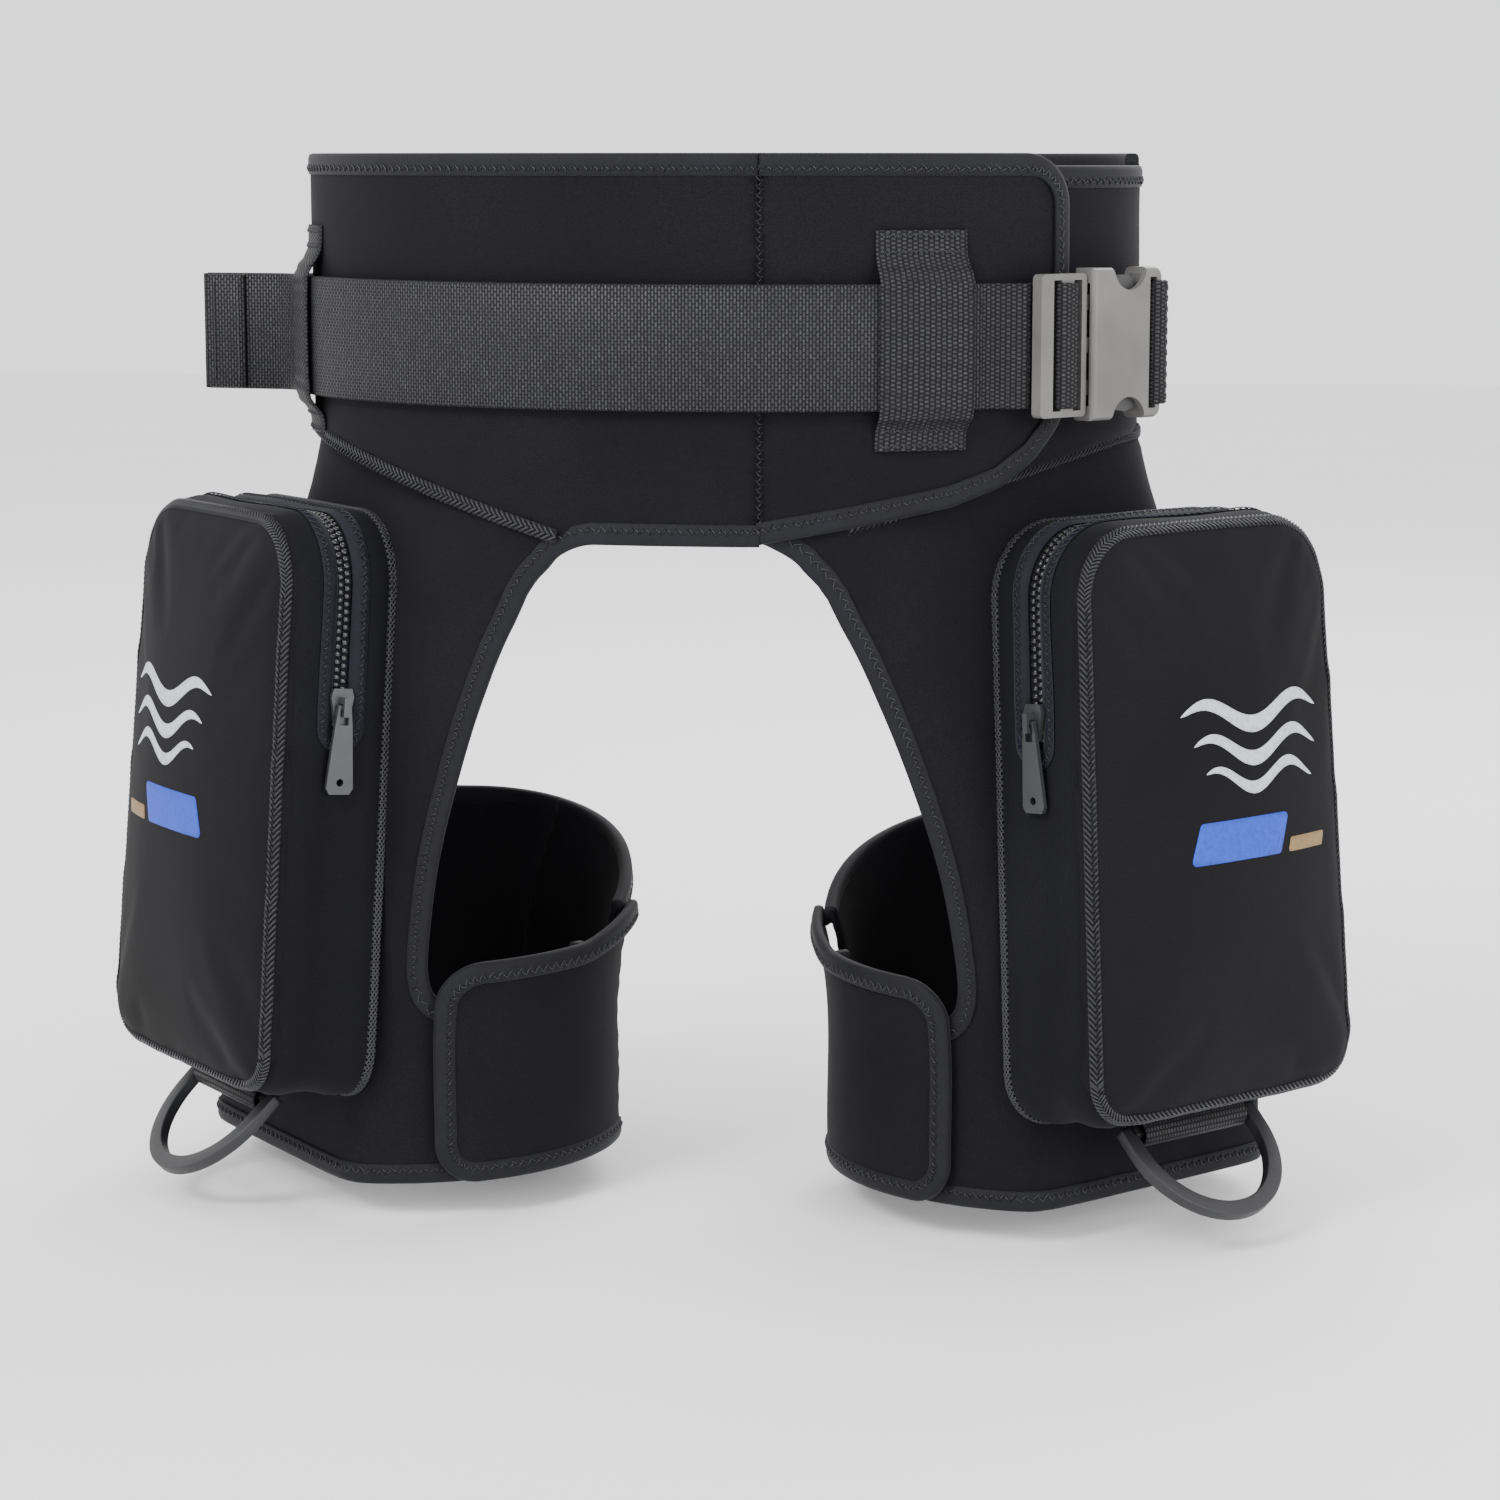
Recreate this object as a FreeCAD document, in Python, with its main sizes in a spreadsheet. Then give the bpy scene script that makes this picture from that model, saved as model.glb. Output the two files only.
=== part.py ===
"""Neoprene diver's pocket belt: waist wrap, webbing with side-release buckle and two pocketed thigh panels.

Frame: millimetres, +Z up, the front (buckle side) faces -Y, the origin is the centre of the waist opening
at the height of the webbing's centre line.  Angles round the waist and the legs are measured from the
front (-Y), positive towards +X at the waist and towards the outside of the body at the legs.
"""
import FreeCAD, Part
import math
import os
import Sketcher

Vec = FreeCAD.Vector
doc = FreeCAD.newDocument("dive_pocket_belt")

# ---------------------------------------------------------------- driving dimensions
DIMENSIONS = {
    # waist wrap
    "waist_half_width": 177, "waist_half_depth": 118, "waist_top": 75, "waist_bottom": -80,
    "neoprene": 4, "patch_gap": 0.1,
    "patch": 1.1, "binding_width": 8, "binding_thick": 0.9,
    # webbing and belt loops
    "webbing_width": 50, "webbing_thick": 1.8, "loop_width": 36, "loop_top": 42, "loop_bottom": -36,
    # side-release buckle
    "buckle_angle": 60, "buckle_offset": 14.5, "buckle_half_height": 30.5, "buckle_thick": 12,
    "frame_half_height": 28.5, "frame_thick": 5, "release_travel": 30,
    # legs
    "ring_x": 145, "ring_half_width": 92, "ring_half_depth": 88, "ring_bottom": -356,
    "ring_top_front": -285, "ring_top_back": -215,
    # pockets, in the pocket's own frame: x across, y up the pocket, z outward from the leg
    "pocket_yaw": 48, "pocket_lean": 5, "base_distance": 47, "pocket_z": -200,
    "base_half_bottom": 79, "base_half_top": 72, "base_low": -119, "base_high": 127,
    "gusset_depth": 44, "gusset_taper": 3.5, "face_thick": 12, "zip_low": 38, "zip_level": 19,
    "zip_width": 7, "tooth_pitch": 3.2,
    # D-ring
    "ring_bar": 5, "ring_face": 7, "dring_half_width": 39, "dring_depth": 48, "dring_swing": 42,
}
sheet = doc.addObject("Spreadsheet::Sheet", "Dims")
for row, (alias, value) in enumerate(DIMENSIONS.items(), start=1):
    sheet.set(f"A{row}", alias)
    sheet.set(f"B{row}", str(value))
    sheet.setAlias(f"B{row}", alias)
doc.recompute()


def dim(alias):
    """Value of a driving dimension, read from the sheet."""
    return float(sheet.get(alias))


A_WAIST, B_WAIST = dim("waist_half_width"), dim("waist_half_depth")
NEOPRENE = dim("neoprene")
HALF_WEB = dim("webbing_width") / 2
subparts = []


# ---------------------------------------------------------------- helpers
def keep(obj, label):
    """Name a finished sub-part and list it for writing."""
    obj.Label = label
    subparts.append(obj)
    return obj


def feature(label, shape, placement=None):
    """A sub-part whose curved shape is made with Part's own functions."""
    obj = doc.addObject("Part::Feature", label)
    obj.Shape = shape
    if placement:
        obj.Placement = placement
    return keep(obj, label)


def plane(body, role):
    return next(item for item in body.Origin.OriginFeatures if item.Role == role)


def sketch(body, name, role, level="0"):
    """Empty sketch on one of the body's own planes, raised by the expression in level."""
    drawing = body.newObject("Sketcher::SketchObject", name)
    drawing.AttachmentSupport = [(plane(body, role), "")]
    drawing.MapMode = "FlatFace"
    drawing.setExpression("AttachmentOffset.Base.z", level)
    return drawing


probe = doc.addObject("App::FeaturePython", "Probe")
probe.addProperty("App::PropertyFloat", "amount")


def value_of(expression):
    """Number that an expression stands for, used as a sketch's starting value."""
    probe.setExpression("amount", expression)
    probe.recompute()
    return float(probe.amount)


def polygon(drawing, corners):
    """Closed polygon whose corner coordinates are expressions on the sheet."""
    first = drawing.GeometryCount
    points = [Vec(value_of(x), value_of(y), 0) for x, y in corners]
    count = len(points)
    for index, point in enumerate(points):
        drawing.addGeometry(Part.LineSegment(point, points[(index + 1) % count]))
    for index in range(count):
        following = first + (index + 1) % count
        drawing.addConstraint(Sketcher.Constraint("Coincident", first + index, 2, following, 1))
    for index, (x, y) in enumerate(corners):
        for kind, text, start in (("DistanceX", x, points[index].x), ("DistanceY", y, points[index].y)):
            number = drawing.addConstraint(Sketcher.Constraint(kind, -1, 1, first + index, 1, start))
            drawing.setExpression(f"Constraints[{number}]", text)


def rectangle(drawing, left, right, low, high):
    polygon(drawing, [(left, low), (right, low), (right, high), (left, high)])


def circle(drawing, x, y, radius):
    index = drawing.addGeometry(Part.Circle(Vec(value_of(x), value_of(y), 0), Vec(0, 0, 1), value_of(radius)))
    number = drawing.addConstraint(Sketcher.Constraint("Radius", index, value_of(radius)))
    drawing.setExpression(f"Constraints[{number}]", radius)
    for kind, text in (("DistanceX", x), ("DistanceY", y)):
        number = drawing.addConstraint(Sketcher.Constraint(kind, -1, 1, index, 3, value_of(text)))
        drawing.setExpression(f"Constraints[{number}]", text)


def pad(body, drawing, length, taper=None):
    solid = body.newObject("PartDesign::Pad", "Pad")
    solid.Profile = drawing
    solid.setExpression("Length", length)
    if taper:
        solid.setExpression("TaperAngle", taper)
    doc.recompute()
    return solid


def pocket(body, drawing, length, reverse=True):
    """Cut along the sketch's normal (reverse=True) and make sure that something was cut."""
    before = body.Shape.Volume
    cut = body.newObject("PartDesign::Pocket", "Pocket")
    cut.Profile = drawing
    cut.Reversed = reverse
    cut.setExpression("Length", length)
    doc.recompute()
    if body.Shape.Volume > before - 0.01:
        raise RuntimeError(f"{body.Name}: pocket cuts nothing")
    return cut


def upright_edges(solid, wanted=None):
    """Names of the edges along the body's z axis, all of them or those that wanted(x, y) accepts."""
    names = []
    for number, edge in enumerate(solid.Shape.Edges, start=1):
        ends = [vertex.Point for vertex in edge.Vertexes]
        if len(ends) == 2 and abs(ends[0].z - ends[1].z) > 0.8 * edge.Length:
            middle = (ends[0] + ends[1]) * 0.5
            if wanted is None or wanted(middle.x, middle.y):
                names.append(f"Edge{number}")
    return names


def level_edges(solid, height):
    """Names of the edges that lie at one height in the body's own frame."""
    names = []
    for number, edge in enumerate(solid.Shape.Edges, start=1):
        box = edge.BoundBox
        if abs(box.ZMin - height) < 0.01 and abs(box.ZMax - height) < 0.01:
            names.append(f"Edge{number}")
    return names


def fillet(body, base, names, radius):
    rounding = body.newObject("PartDesign::Fillet", "Fillet")
    rounding.Base = (base, names)
    rounding.setExpression("Radius", radius)
    doc.recompute()
    return rounding


def frame_placement(origin, x_axis, y_axis, z_axis):
    return FreeCAD.Placement(origin, FreeCAD.Rotation(x_axis, y_axis, z_axis, "ZXY"))


def curve_through(points):
    curve = Part.BSplineCurve()
    curve.interpolate(points)
    return curve.toShape()


def wall(outline_in, outline_out, low, high):
    """Upright wall between two open curves, from one height to another."""
    edges = [curve_through(outline_in), Part.makeLine(outline_in[-1], outline_out[-1]),
             curve_through(outline_out[::-1]), Part.makeLine(outline_out[0], outline_in[0])]
    base = Part.Face(Part.Wire(Part.sortEdges(edges)[0]))
    base.translate(Vec(0, 0, low))
    return base.extrude(Vec(0, 0, high - low))


# ---------------------------------------------------------------- leg surface
# Outer surface of one leg: height, centre x, centre y, half width, half depth.
LEG_SECTIONS = [(-34, 0, 0, A_WAIST, B_WAIST), (-60, 11, 0, 172, 119), (-90, 38, 0, 155, 117),
                (-135, 82, 0, 126, 109), (-190, 118, 0, 104, 98),
                (-250, 139, 0, dim("ring_half_width") + 2, dim("ring_half_depth") + 3),
                (dim("ring_bottom"), dim("ring_x"), 0, dim("ring_half_width"), dim("ring_half_depth"))]


def leg_core(offset):
    """Loft of the leg's sections, with its surface moved outward by offset."""
    rings = []
    for height, x, y, half_width, half_depth in LEG_SECTIONS:
        ellipse = Part.Ellipse(Vec(x, y, height), half_width + offset, half_depth + offset)
        rings.append(Part.Wire([ellipse.toShape()]))
    return Part.makeLoft(rings, True, False)


# ---------------------------------------------------------------- waist
def waist_point(angle, offset, height=0.0):
    turn = math.radians(angle)
    return Vec((A_WAIST + offset) * math.sin(turn), -(B_WAIST + offset) * math.cos(turn), height)


FLAP_LIFT, LIFT_START, LIFT_RUN = 6.6, -70.0, 60.0


def flap_lift(angle):
    """How far the front of the wrap stands out so that it can lie over the panel under it."""
    rise = min(max((angle - LIFT_START) / LIFT_RUN, 0), 1)
    return FLAP_LIFT * rise * rise * (3 - 2 * rise)


def waist_band(start, end, inner, outer, low, high, lifted=False):
    """Band round the waist between two angles; inner and outer are offsets from the waist line."""
    count = max(6, int(abs(end - start) / 8) + 1)
    angles = [start + (end - start) * step / (count - 1) for step in range(count)]
    lift = [flap_lift(angle) if lifted else 0.0 for angle in angles]
    inside = [waist_point(angle, inner + rise) for angle, rise in zip(angles, lift)]
    outside = [waist_point(angle, outer + rise) for angle, rise in zip(angles, lift)]
    return wall(inside, outside, low, high)


WAIST_TOP, WAIST_BOTTOM = dim("waist_top"), dim("waist_bottom")
FLAP_END, UNDER_END, SEAM = 56.0, 2.0, 11.0
BACK_RIGHT, BACK_LEFT = 100.0, 260.0
BIND_W, BIND_T = dim("binding_width"), dim("binding_thick")
PATCH_GAP, PATCH = dim("patch_gap"), dim("patch")
BIND_GAP = 0.08
UNDER_TOP = 5.0

# Seam between the waist wrap and the legs, and the flap's lower edge, as x and z seen from the front.
SEAM_LINE = [(-200, -36), (-170, -41), (-100, -62), (-45, -78), (45, -78), (100, -62), (170, -41), (200, -36)]
FLAP_EDGE = [(30, -78), (70, -71), (110, -63), (128, -56), (140, -46), (148, -32), (170, -32)]


def below(line, drop=0.0):
    """Everything under a line that is drawn from the front, through the whole depth."""
    floor = -500.0
    corners = [Vec(x, -300, z - drop) for x, z in line]
    corners += [Vec(line[-1][0], -300, floor), Vec(line[0][0], -300, floor)]
    return Part.Face(Part.makePolygon(corners + corners[:1])).extrude(Vec(0, 600, 0))


LEG_SPACE = below(SEAM_LINE)
feature("waist_back_panel", waist_band(BACK_RIGHT, BACK_LEFT, -NEOPRENE, 0, WAIST_BOTTOM, WAIST_TOP)
        .cut(LEG_SPACE))
feature("waist_under_panel", waist_band(UNDER_END, BACK_RIGHT, -NEOPRENE, 0, WAIST_BOTTOM,
                                        WAIST_TOP - UNDER_TOP).cut(LEG_SPACE))
feature("waist_left_panel", waist_band(BACK_LEFT - 360, SEAM, -NEOPRENE, 0, WAIST_BOTTOM, WAIST_TOP, True)
        .cut(LEG_SPACE))
flap = waist_band(SEAM, FLAP_END, -NEOPRENE, 0, WAIST_BOTTOM, WAIST_TOP, True)
feature("waist_flap", flap.cut(below(FLAP_EDGE)).cut(leg_core(PATCH).common(LEG_SPACE)))
HOOK_OUT = FLAP_LIFT - NEOPRENE - PATCH_GAP
LOOP_START, LOOP_END, LOOP_LOW, LOOP_HIGH = 14.0, 54.0, -38.0, 58.0
HOOK_START, HOOK_END, HOOK_LOW, HOOK_HIGH = 18.0, 52.0, -34.0, 54.0
feature("under_loop_patch", waist_band(LOOP_START, LOOP_END, PATCH_GAP, PATCH_GAP + PATCH, LOOP_LOW, LOOP_HIGH))
feature("flap_hook_patch", waist_band(HOOK_START, HOOK_END, 2 * PATCH_GAP + PATCH, HOOK_OUT, HOOK_LOW, HOOK_HIGH))
END_STRIP = 2.6
feature("flap_top_binding", waist_band(BACK_LEFT - 360, FLAP_END, BIND_GAP, BIND_T, WAIST_TOP - BIND_W, WAIST_TOP,
                                       True))
feature("flap_end_binding", waist_band(FLAP_END - END_STRIP, FLAP_END, BIND_GAP, BIND_T, -20,
                                       WAIST_TOP - BIND_W, True))
hem = waist_band(SEAM, FLAP_END - END_STRIP - 0.1, BIND_GAP, BIND_T, WAIST_BOTTOM, -24, True)
feature("flap_hem_binding", hem.cut(below(FLAP_EDGE)).common(below(FLAP_EDGE, -BIND_W)))
BACK_TOP = WAIST_TOP - UNDER_TOP
feature("back_top_binding", waist_band(FLAP_END + 3, BACK_LEFT - 0.5, BIND_GAP, BIND_T, BACK_TOP - BIND_W, BACK_TOP))

# ---------------------------------------------------------------- webbing round the waist
INNER_STRAND, OUTER_STRAND = 1.4, 3.5
WEB = dim("webbing_thick")
TURN_START, FRONT_LAST = 40.0, -83.5
feature("webbing_back_strand", waist_band(92, 276, INNER_STRAND, INNER_STRAND + WEB, -HALF_WEB, HALF_WEB))
feature("webbing_front_strand", waist_band(FRONT_LAST, TURN_START, INNER_STRAND, INNER_STRAND + WEB, -HALF_WEB,
                                           HALF_WEB, True))
feature("webbing_tail_strand", waist_band(FRONT_LAST, TURN_START, OUTER_STRAND, OUTER_STRAND + WEB, -HALF_WEB,
                                          HALF_WEB, True))


def tangent_block(angle, offset, half_width, low, high, thick):
    """Flat block that touches the waist at one angle."""
    origin = waist_point(angle, offset)
    ahead = (waist_point(angle + 1, offset) - waist_point(angle - 1, offset)).normalize()
    outward = ahead.cross(Vec(0, 0, 1))
    block = Part.makeBox(2 * half_width, high - low, thick, Vec(-half_width, low, 0))
    block.Placement = frame_placement(origin, ahead, Vec(0, 0, 1), outward)
    return block


# The tail's free end is folded and sewn, and stands straight out past the last belt loop.
tail_from = waist_point(FRONT_LAST, OUTER_STRAND)
TAIL_LENGTH, TAIL_HEM = 46.0, 20.0
tail_along = Vec(-0.985, 0.17, 0).normalize()
tail_out = Vec(0, 0, 1).cross(tail_along) * -1
tail = Part.makeBox(TAIL_LENGTH, 2 * HALF_WEB, WEB, Vec(0, -HALF_WEB, 0))
hem = Part.makeBox(TAIL_HEM, 2 * HALF_WEB, WEB, Vec(TAIL_LENGTH - TAIL_HEM, -HALF_WEB, -WEB))
feature("webbing_tail_end", tail.fuse(hem),
        frame_placement(tail_from + tail_out * 0.4 + tail_along * 0.5, tail_along, tail_out.cross(tail_along),
                        tail_out))


LOOP_STAND, LOOP_THICK, LOOP_FOOT = 7.2, 1.5, 4.0


def belt_loop(label, angle, lift):
    """Short webbing over the belt, sewn to the wrap above and below it."""
    half = dim("loop_width") / 2
    top, bottom = dim("loop_top"), dim("loop_bottom")
    sunk = 3.0
    outer = tangent_block(angle, lift, half, bottom, top, LOOP_STAND + LOOP_THICK)
    inner = tangent_block(angle, lift - sunk, half + 1, bottom + LOOP_FOOT, top - LOOP_FOOT, LOOP_STAND + sunk)
    foot = waist_band(angle - 20, angle + 20, -30, PATCH_GAP, -100, 100, lift > 0)
    feature(label, outer.cut(inner).cut(foot))


belt_loop("belt_loop_front_right", 32, flap_lift(32))
belt_loop("belt_loop_front_left", -74, flap_lift(-74))
belt_loop("belt_loop_back_right", 140, 0)
belt_loop("belt_loop_back_left", 220, 0)

# ---------------------------------------------------------------- side-release buckle
BUCKLE_ANGLE = dim("buckle_angle")
buckle_origin = waist_point(BUCKLE_ANGLE, dim("buckle_offset"))
turn = math.radians(BUCKLE_ANGLE)
buckle_x = Vec((A_WAIST + dim("buckle_offset")) * math.cos(turn),
               (B_WAIST + dim("buckle_offset")) * math.sin(turn), 0).normalize()
buckle_z = buckle_x.cross(Vec(0, 0, 1))
BUCKLE = frame_placement(buckle_origin, buckle_x, Vec(0, 0, 1), buckle_z)


def buckle_female():
    body = doc.addObject("PartDesign::Body", "BuckleFemale")
    shell = sketch(body, "ShellOutline", "XY_Plane", "-Dims.buckle_thick / 2")
    rectangle(shell, "-10.5", "30", "-Dims.buckle_half_height", "Dims.buckle_half_height")
    block = pad(body, shell, "Dims.buckle_thick")
    block = fillet(body, block, upright_edges(block, lambda x, y: x > 0), "4")
    faces = level_edges(block, 6) + level_edges(block, -6)
    fillet(body, block, faces, "2.4")
    cavity = sketch(body, "CavityOutline", "XY_Plane", "-3.4")
    rectangle(cavity, "-12", "19.5", "-24.5", "24.5")
    pocket(body, cavity, "6.8")
    for side in ("-", ""):
        scallop = sketch(body, "ScallopOutline", "XY_Plane", "-8")
        circle(scallop, "10.5", f"{side}(Dims.buckle_half_height + 0.5)", "9.5")
        pocket(body, scallop, "16")
        window = sketch(body, "WindowOutline", "XY_Plane", "-3.4")
        rectangle(window, "1.5", "19.5", f"{side}34", f"{side}23")
        pocket(body, window, "6.8")
    slot = sketch(body, "WebSlotOutline", "XY_Plane", "-8")
    rectangle(slot, "22", "26", "-26.5", "26.5")
    pocket(body, slot, "16")
    body.Placement = BUCKLE
    return keep(body, "buckle_female")


def buckle_male():
    body = doc.addObject("PartDesign::Body", "BuckleMale")
    outline = sketch(body, "FrameOutline", "XY_Plane", "-Dims.frame_thick / 2")
    rectangle(outline, "-37", "-11.2", "-Dims.frame_half_height", "Dims.frame_half_height")
    block = pad(body, outline, "Dims.frame_thick")
    fillet(body, block, upright_edges(block), "2.2")
    for left, right in (("-30", "-25.5"), ("-18.5", "-14")):
        slot = sketch(body, "LadderSlot", "XY_Plane", "-8")
        rectangle(slot, left, right, "-26", "26")
        pocket(body, slot, "16")
    guide = sketch(body, "GuideOutline", "XY_Plane", "-2")
    rectangle(guide, "-12", "12", "-3", "3")
    pad(body, guide, "4")
    body.Placement = BUCKLE
    return keep(body, "buckle_male")


def buckle_prong(label, side):
    """Springy arm with a side button; its root meets the male frame."""
    body = doc.addObject("PartDesign::Body", label.title().replace("_", ""))
    outline = sketch(body, "ProngOutline", "XY_Plane", "-2.5")
    corners = [(-11, 14), (14, 17), (17, 22), (17, 26), (12, 27.5), (4, 26.5), (1.5, 22.5), (-11, 20)]
    polygon(outline, [(str(x), str(side * y)) for x, y in corners])
    pad(body, outline, "5")
    body.Placement = BUCKLE
    return keep(body, label)


buckle_female()
buckle_male()
buckle_prong("buckle_prong_upper", 1)
buckle_prong("buckle_prong_lower", -1)

# Webbing from the two strands, round the ladder bar of the male half.
LADDER_LEFT, LADDER_RIGHT = -25.5, -18.5
BAR_GAP, SLEEVE_WALL, BAR_HALF = 0.3, 2.0, dim("frame_thick") / 2
bar_space = Part.makeBox(LADDER_RIGHT - LADDER_LEFT + 2 * BAR_GAP, 80, 2 * (BAR_HALF + BAR_GAP),
                         Vec(LADDER_LEFT - BAR_GAP, -40, -BAR_HALF - BAR_GAP))
sleeve = Part.makeBox(LADDER_RIGHT - LADDER_LEFT + 2 * (BAR_GAP + SLEEVE_WALL), 2 * HALF_WEB, 9,
                      Vec(LADDER_LEFT - BAR_GAP - SLEEVE_WALL, -HALF_WEB, -4.5)).cut(bar_space)
sleeve.Placement = BUCKLE
FRONT_LIFT = flap_lift(TURN_START)


def buckle_point(along, outward):
    return BUCKLE.multVec(Vec(along, 0, outward))


inside = [waist_point(TURN_START + 0.3, INNER_STRAND + FRONT_LIFT),
          waist_point(TURN_START + 2.3, INNER_STRAND + FRONT_LIFT), buckle_point(-40, -7.0),
          buckle_point(-32, -6.8), buckle_point(-27, -6.6)]
outside = [waist_point(TURN_START + 0.3, OUTER_STRAND + WEB + FRONT_LIFT),
           waist_point(TURN_START + 2.3, OUTER_STRAND + WEB + FRONT_LIFT), buckle_point(-40, -3.6),
           buckle_point(-32, -3.2), buckle_point(-27, -3.2)]
feature("webbing_male_end", wall(inside, outside, -HALF_WEB, HALF_WEB).fuse(sleeve))
web_eye = Part.makeBox(10, 2 * HALF_WEB, 16, Vec(23, -HALF_WEB, -8))
web_eye = web_eye.cut(Part.makeBox(4.7, 80, 12.6, Vec(25.7, -40, -6.3)))
web_eye.Placement = BUCKLE
STRAND_START = 91.5
inside = [buckle_point(32.5, -7.8), waist_point(83, 1.6), waist_point(87, 1.5), waist_point(STRAND_START, 1.4)]
outside = [buckle_point(32.5, -4.2), waist_point(83, 5.3), waist_point(87, 5.1), waist_point(STRAND_START, 5)]
feature("webbing_female_end", wall(inside, outside, -HALF_WEB, HALF_WEB).fuse(web_eye))

# ---------------------------------------------------------------- thigh panels
# Edge of the arch between the legs, half width at each height.
ARCH = [(-72, 5), (-77, 36), (-90, 56), (-112, 69), (-145, 82), (-180, 92), (-215, 100), (-275, 107)]
BACK_SPREAD, ARCH_FRONT = 0.30, -110.0


YAW, LEAN = math.radians(dim("pocket_yaw")), math.radians(dim("pocket_lean"))
OUT = Vec(math.sin(YAW), -math.cos(YAW), 0)
ACROSS = Vec(math.cos(YAW), math.sin(YAW), 0)
UP_THE_POCKET = Vec(0, 0, 1) * math.cos(LEAN) - OUT * math.sin(LEAN)
POCKET_OUT = OUT * math.cos(LEAN) + Vec(0, 0, 1) * math.sin(LEAN)
POCKET_ORIGIN = Vec(dim("ring_x"), 0, dim("pocket_z")) + OUT * dim("base_distance")
RIGHT_POCKET = frame_placement(POCKET_ORIGIN, ACROSS, UP_THE_POCKET, POCKET_OUT)


def flat_side(offset):
    """Everything inward of the flat side that the pocket stands on."""
    block = Part.makeBox(800, 900, 400, Vec(-400, -450, -400 + offset))
    block.Placement = RIGHT_POCKET
    return block


def arch_mask(grow=0.0):
    """Space outward of the arch's edge, wider towards the back, and below the ring's slanting top."""
    far, front, depth = 420.0, -160.0, 320.0
    shift = grow + BACK_SPREAD * (front - ARCH_FRONT)
    edge_points = [Vec(half + shift, front, height) for height, half in ARCH]
    outline = [edge_points[-1], Vec(far, front, ARCH[-1][0]), Vec(far, front, 0), Vec(edge_points[0].x, front, 0),
               edge_points[0]]
    border = [curve_through(edge_points)] + Part.makePolygon(outline).Edges
    face = Part.Face(Part.Wire(Part.sortEdges(border)[0]))
    upper = face.extrude(Vec(depth * BACK_SPREAD, depth, 0))
    slope = (dim("ring_top_back") - dim("ring_top_front")) / 180
    low = dim("ring_bottom") - 20
    side = [Vec(-100, -150, low), Vec(-100, 150, low), Vec(-100, 150, dim("ring_top_back") + 60 * slope - grow),
            Vec(-100, -150, dim("ring_top_front") - 60 * slope - grow)]
    ring = Part.Face(Part.makePolygon(side + side[:1])).extrude(Vec(600, 0, 0))
    return upper.fuse(ring)


def leg_shell(inner, outer):
    whole = leg_core(outer).common(flat_side(outer))
    return whole.cut(leg_core(inner).common(flat_side(inner)))


def leg_sector(start, end, low, high, reach=160.0):
    """Wedge round the leg's centre line between two angles."""
    centre = Vec(dim("ring_x"), 0, low)
    steps = [start + (end - start) * number / 4 for number in range(5)]
    rim = [centre + Vec(math.sin(math.radians(turn)), -math.cos(math.radians(turn)), 0) * reach
           for turn in steps]
    return Part.Face(Part.makePolygon([centre] + rim + [centre])).extrude(Vec(0, 0, high - low))


SEAM_BACK, STRAP_END, CUFF_END, TAB_END = 205.0, 270.0, -70.0, -22.0
LOW, RING_CLEAR = dim("ring_bottom"), 0.35
MIRROR = FreeCAD.Matrix(-1, 0, 0, 0, 0, 1, 0, 0, 0, 0, 1, 0, 0, 0, 0, 1)


def leg_piece(label, side, shape):
    """A leg's curved piece: modelled on the right, mirrored for the left."""
    placed = shape if side == "right" else shape.transformGeometry(MIRROR)
    feature(f"{side}_{label}", placed)


shell = leg_shell(-NEOPRENE, 0).common(arch_mask()).common(below(SEAM_LINE, 0.3))
ring_zone = leg_sector(SEAM_BACK - 360, CUFF_END, LOW - 10, -120, 240)
strap_zone = leg_sector(SEAM_BACK, STRAP_END, LOW - 10, -120, 240)
panel = shell.cut(ring_zone)
strap = shell.common(strap_zone)
edge = leg_shell(BIND_GAP, BIND_T).common(arch_mask().cut(arch_mask(BIND_W))).common(below(SEAM_LINE, 0.3))
loop_patch = leg_shell(0.1, 1.0).common(leg_sector(CUFF_END, TAB_END - 6, LOW + 8, -292, 240))
hook_patch = leg_shell(RING_CLEAR + 1.0, 2.2).common(leg_sector(-60, TAB_END - 6, LOW + 12, -296, 240))
tab = leg_shell(2.3, 5.3).common(leg_sector(STRAP_END - 360 + 1, TAB_END, LOW, -262, 240))
for side in ("right", "left"):
    leg_piece("thigh_panel", side, panel)
    leg_piece("arch_binding", side, edge)
    leg_piece("leg_strap", side, strap)
    leg_piece("leg_loop_patch", side, loop_patch)
    leg_piece("leg_hook_patch", side, hook_patch)
    leg_piece("leg_tab", side, tab)


# ---------------------------------------------------------------- pockets
def pocket_placement(side):
    """The left pocket mirrors the right one; both frames are right-handed, with y up and z outward."""
    if side == "right":
        return RIGHT_POCKET
    origin = Vec(-POCKET_ORIGIN.x, POCKET_ORIGIN.y, POCKET_ORIGIN.z)
    outward = Vec(-POCKET_OUT.x, POCKET_OUT.y, POCKET_OUT.z)
    upward = Vec(-UP_THE_POCKET.x, UP_THE_POCKET.y, UP_THE_POCKET.z)
    return frame_placement(origin, upward.cross(outward), upward, outward)


BASE_OUTLINE = [("-Dims.base_half_bottom", "Dims.base_low"), ("Dims.base_half_bottom", "Dims.base_low"),
                ("Dims.base_half_top", "Dims.base_high"), ("-Dims.base_half_top", "Dims.base_high")]


def inset(corners, amount):
    """The same outline, smaller all round."""
    (x0, y0), (x1, y1), (x2, y2), (x3, y3) = corners
    more, less = f" + ({amount})", f" - ({amount})"
    return [(x0 + more, y0 + more), (x1 + less, y1 + more), (x2 + less, y2 + less), (x3 + more, y3 + less)]


def round_corners(body, solid):
    """Large radii at the top of the pocket, smaller ones at the bottom."""
    solid = fillet(body, solid, upright_edges(solid, lambda x, y: y > 60), "32")
    return fillet(body, solid, upright_edges(solid, lambda x, y: y < -60), "22")


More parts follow.
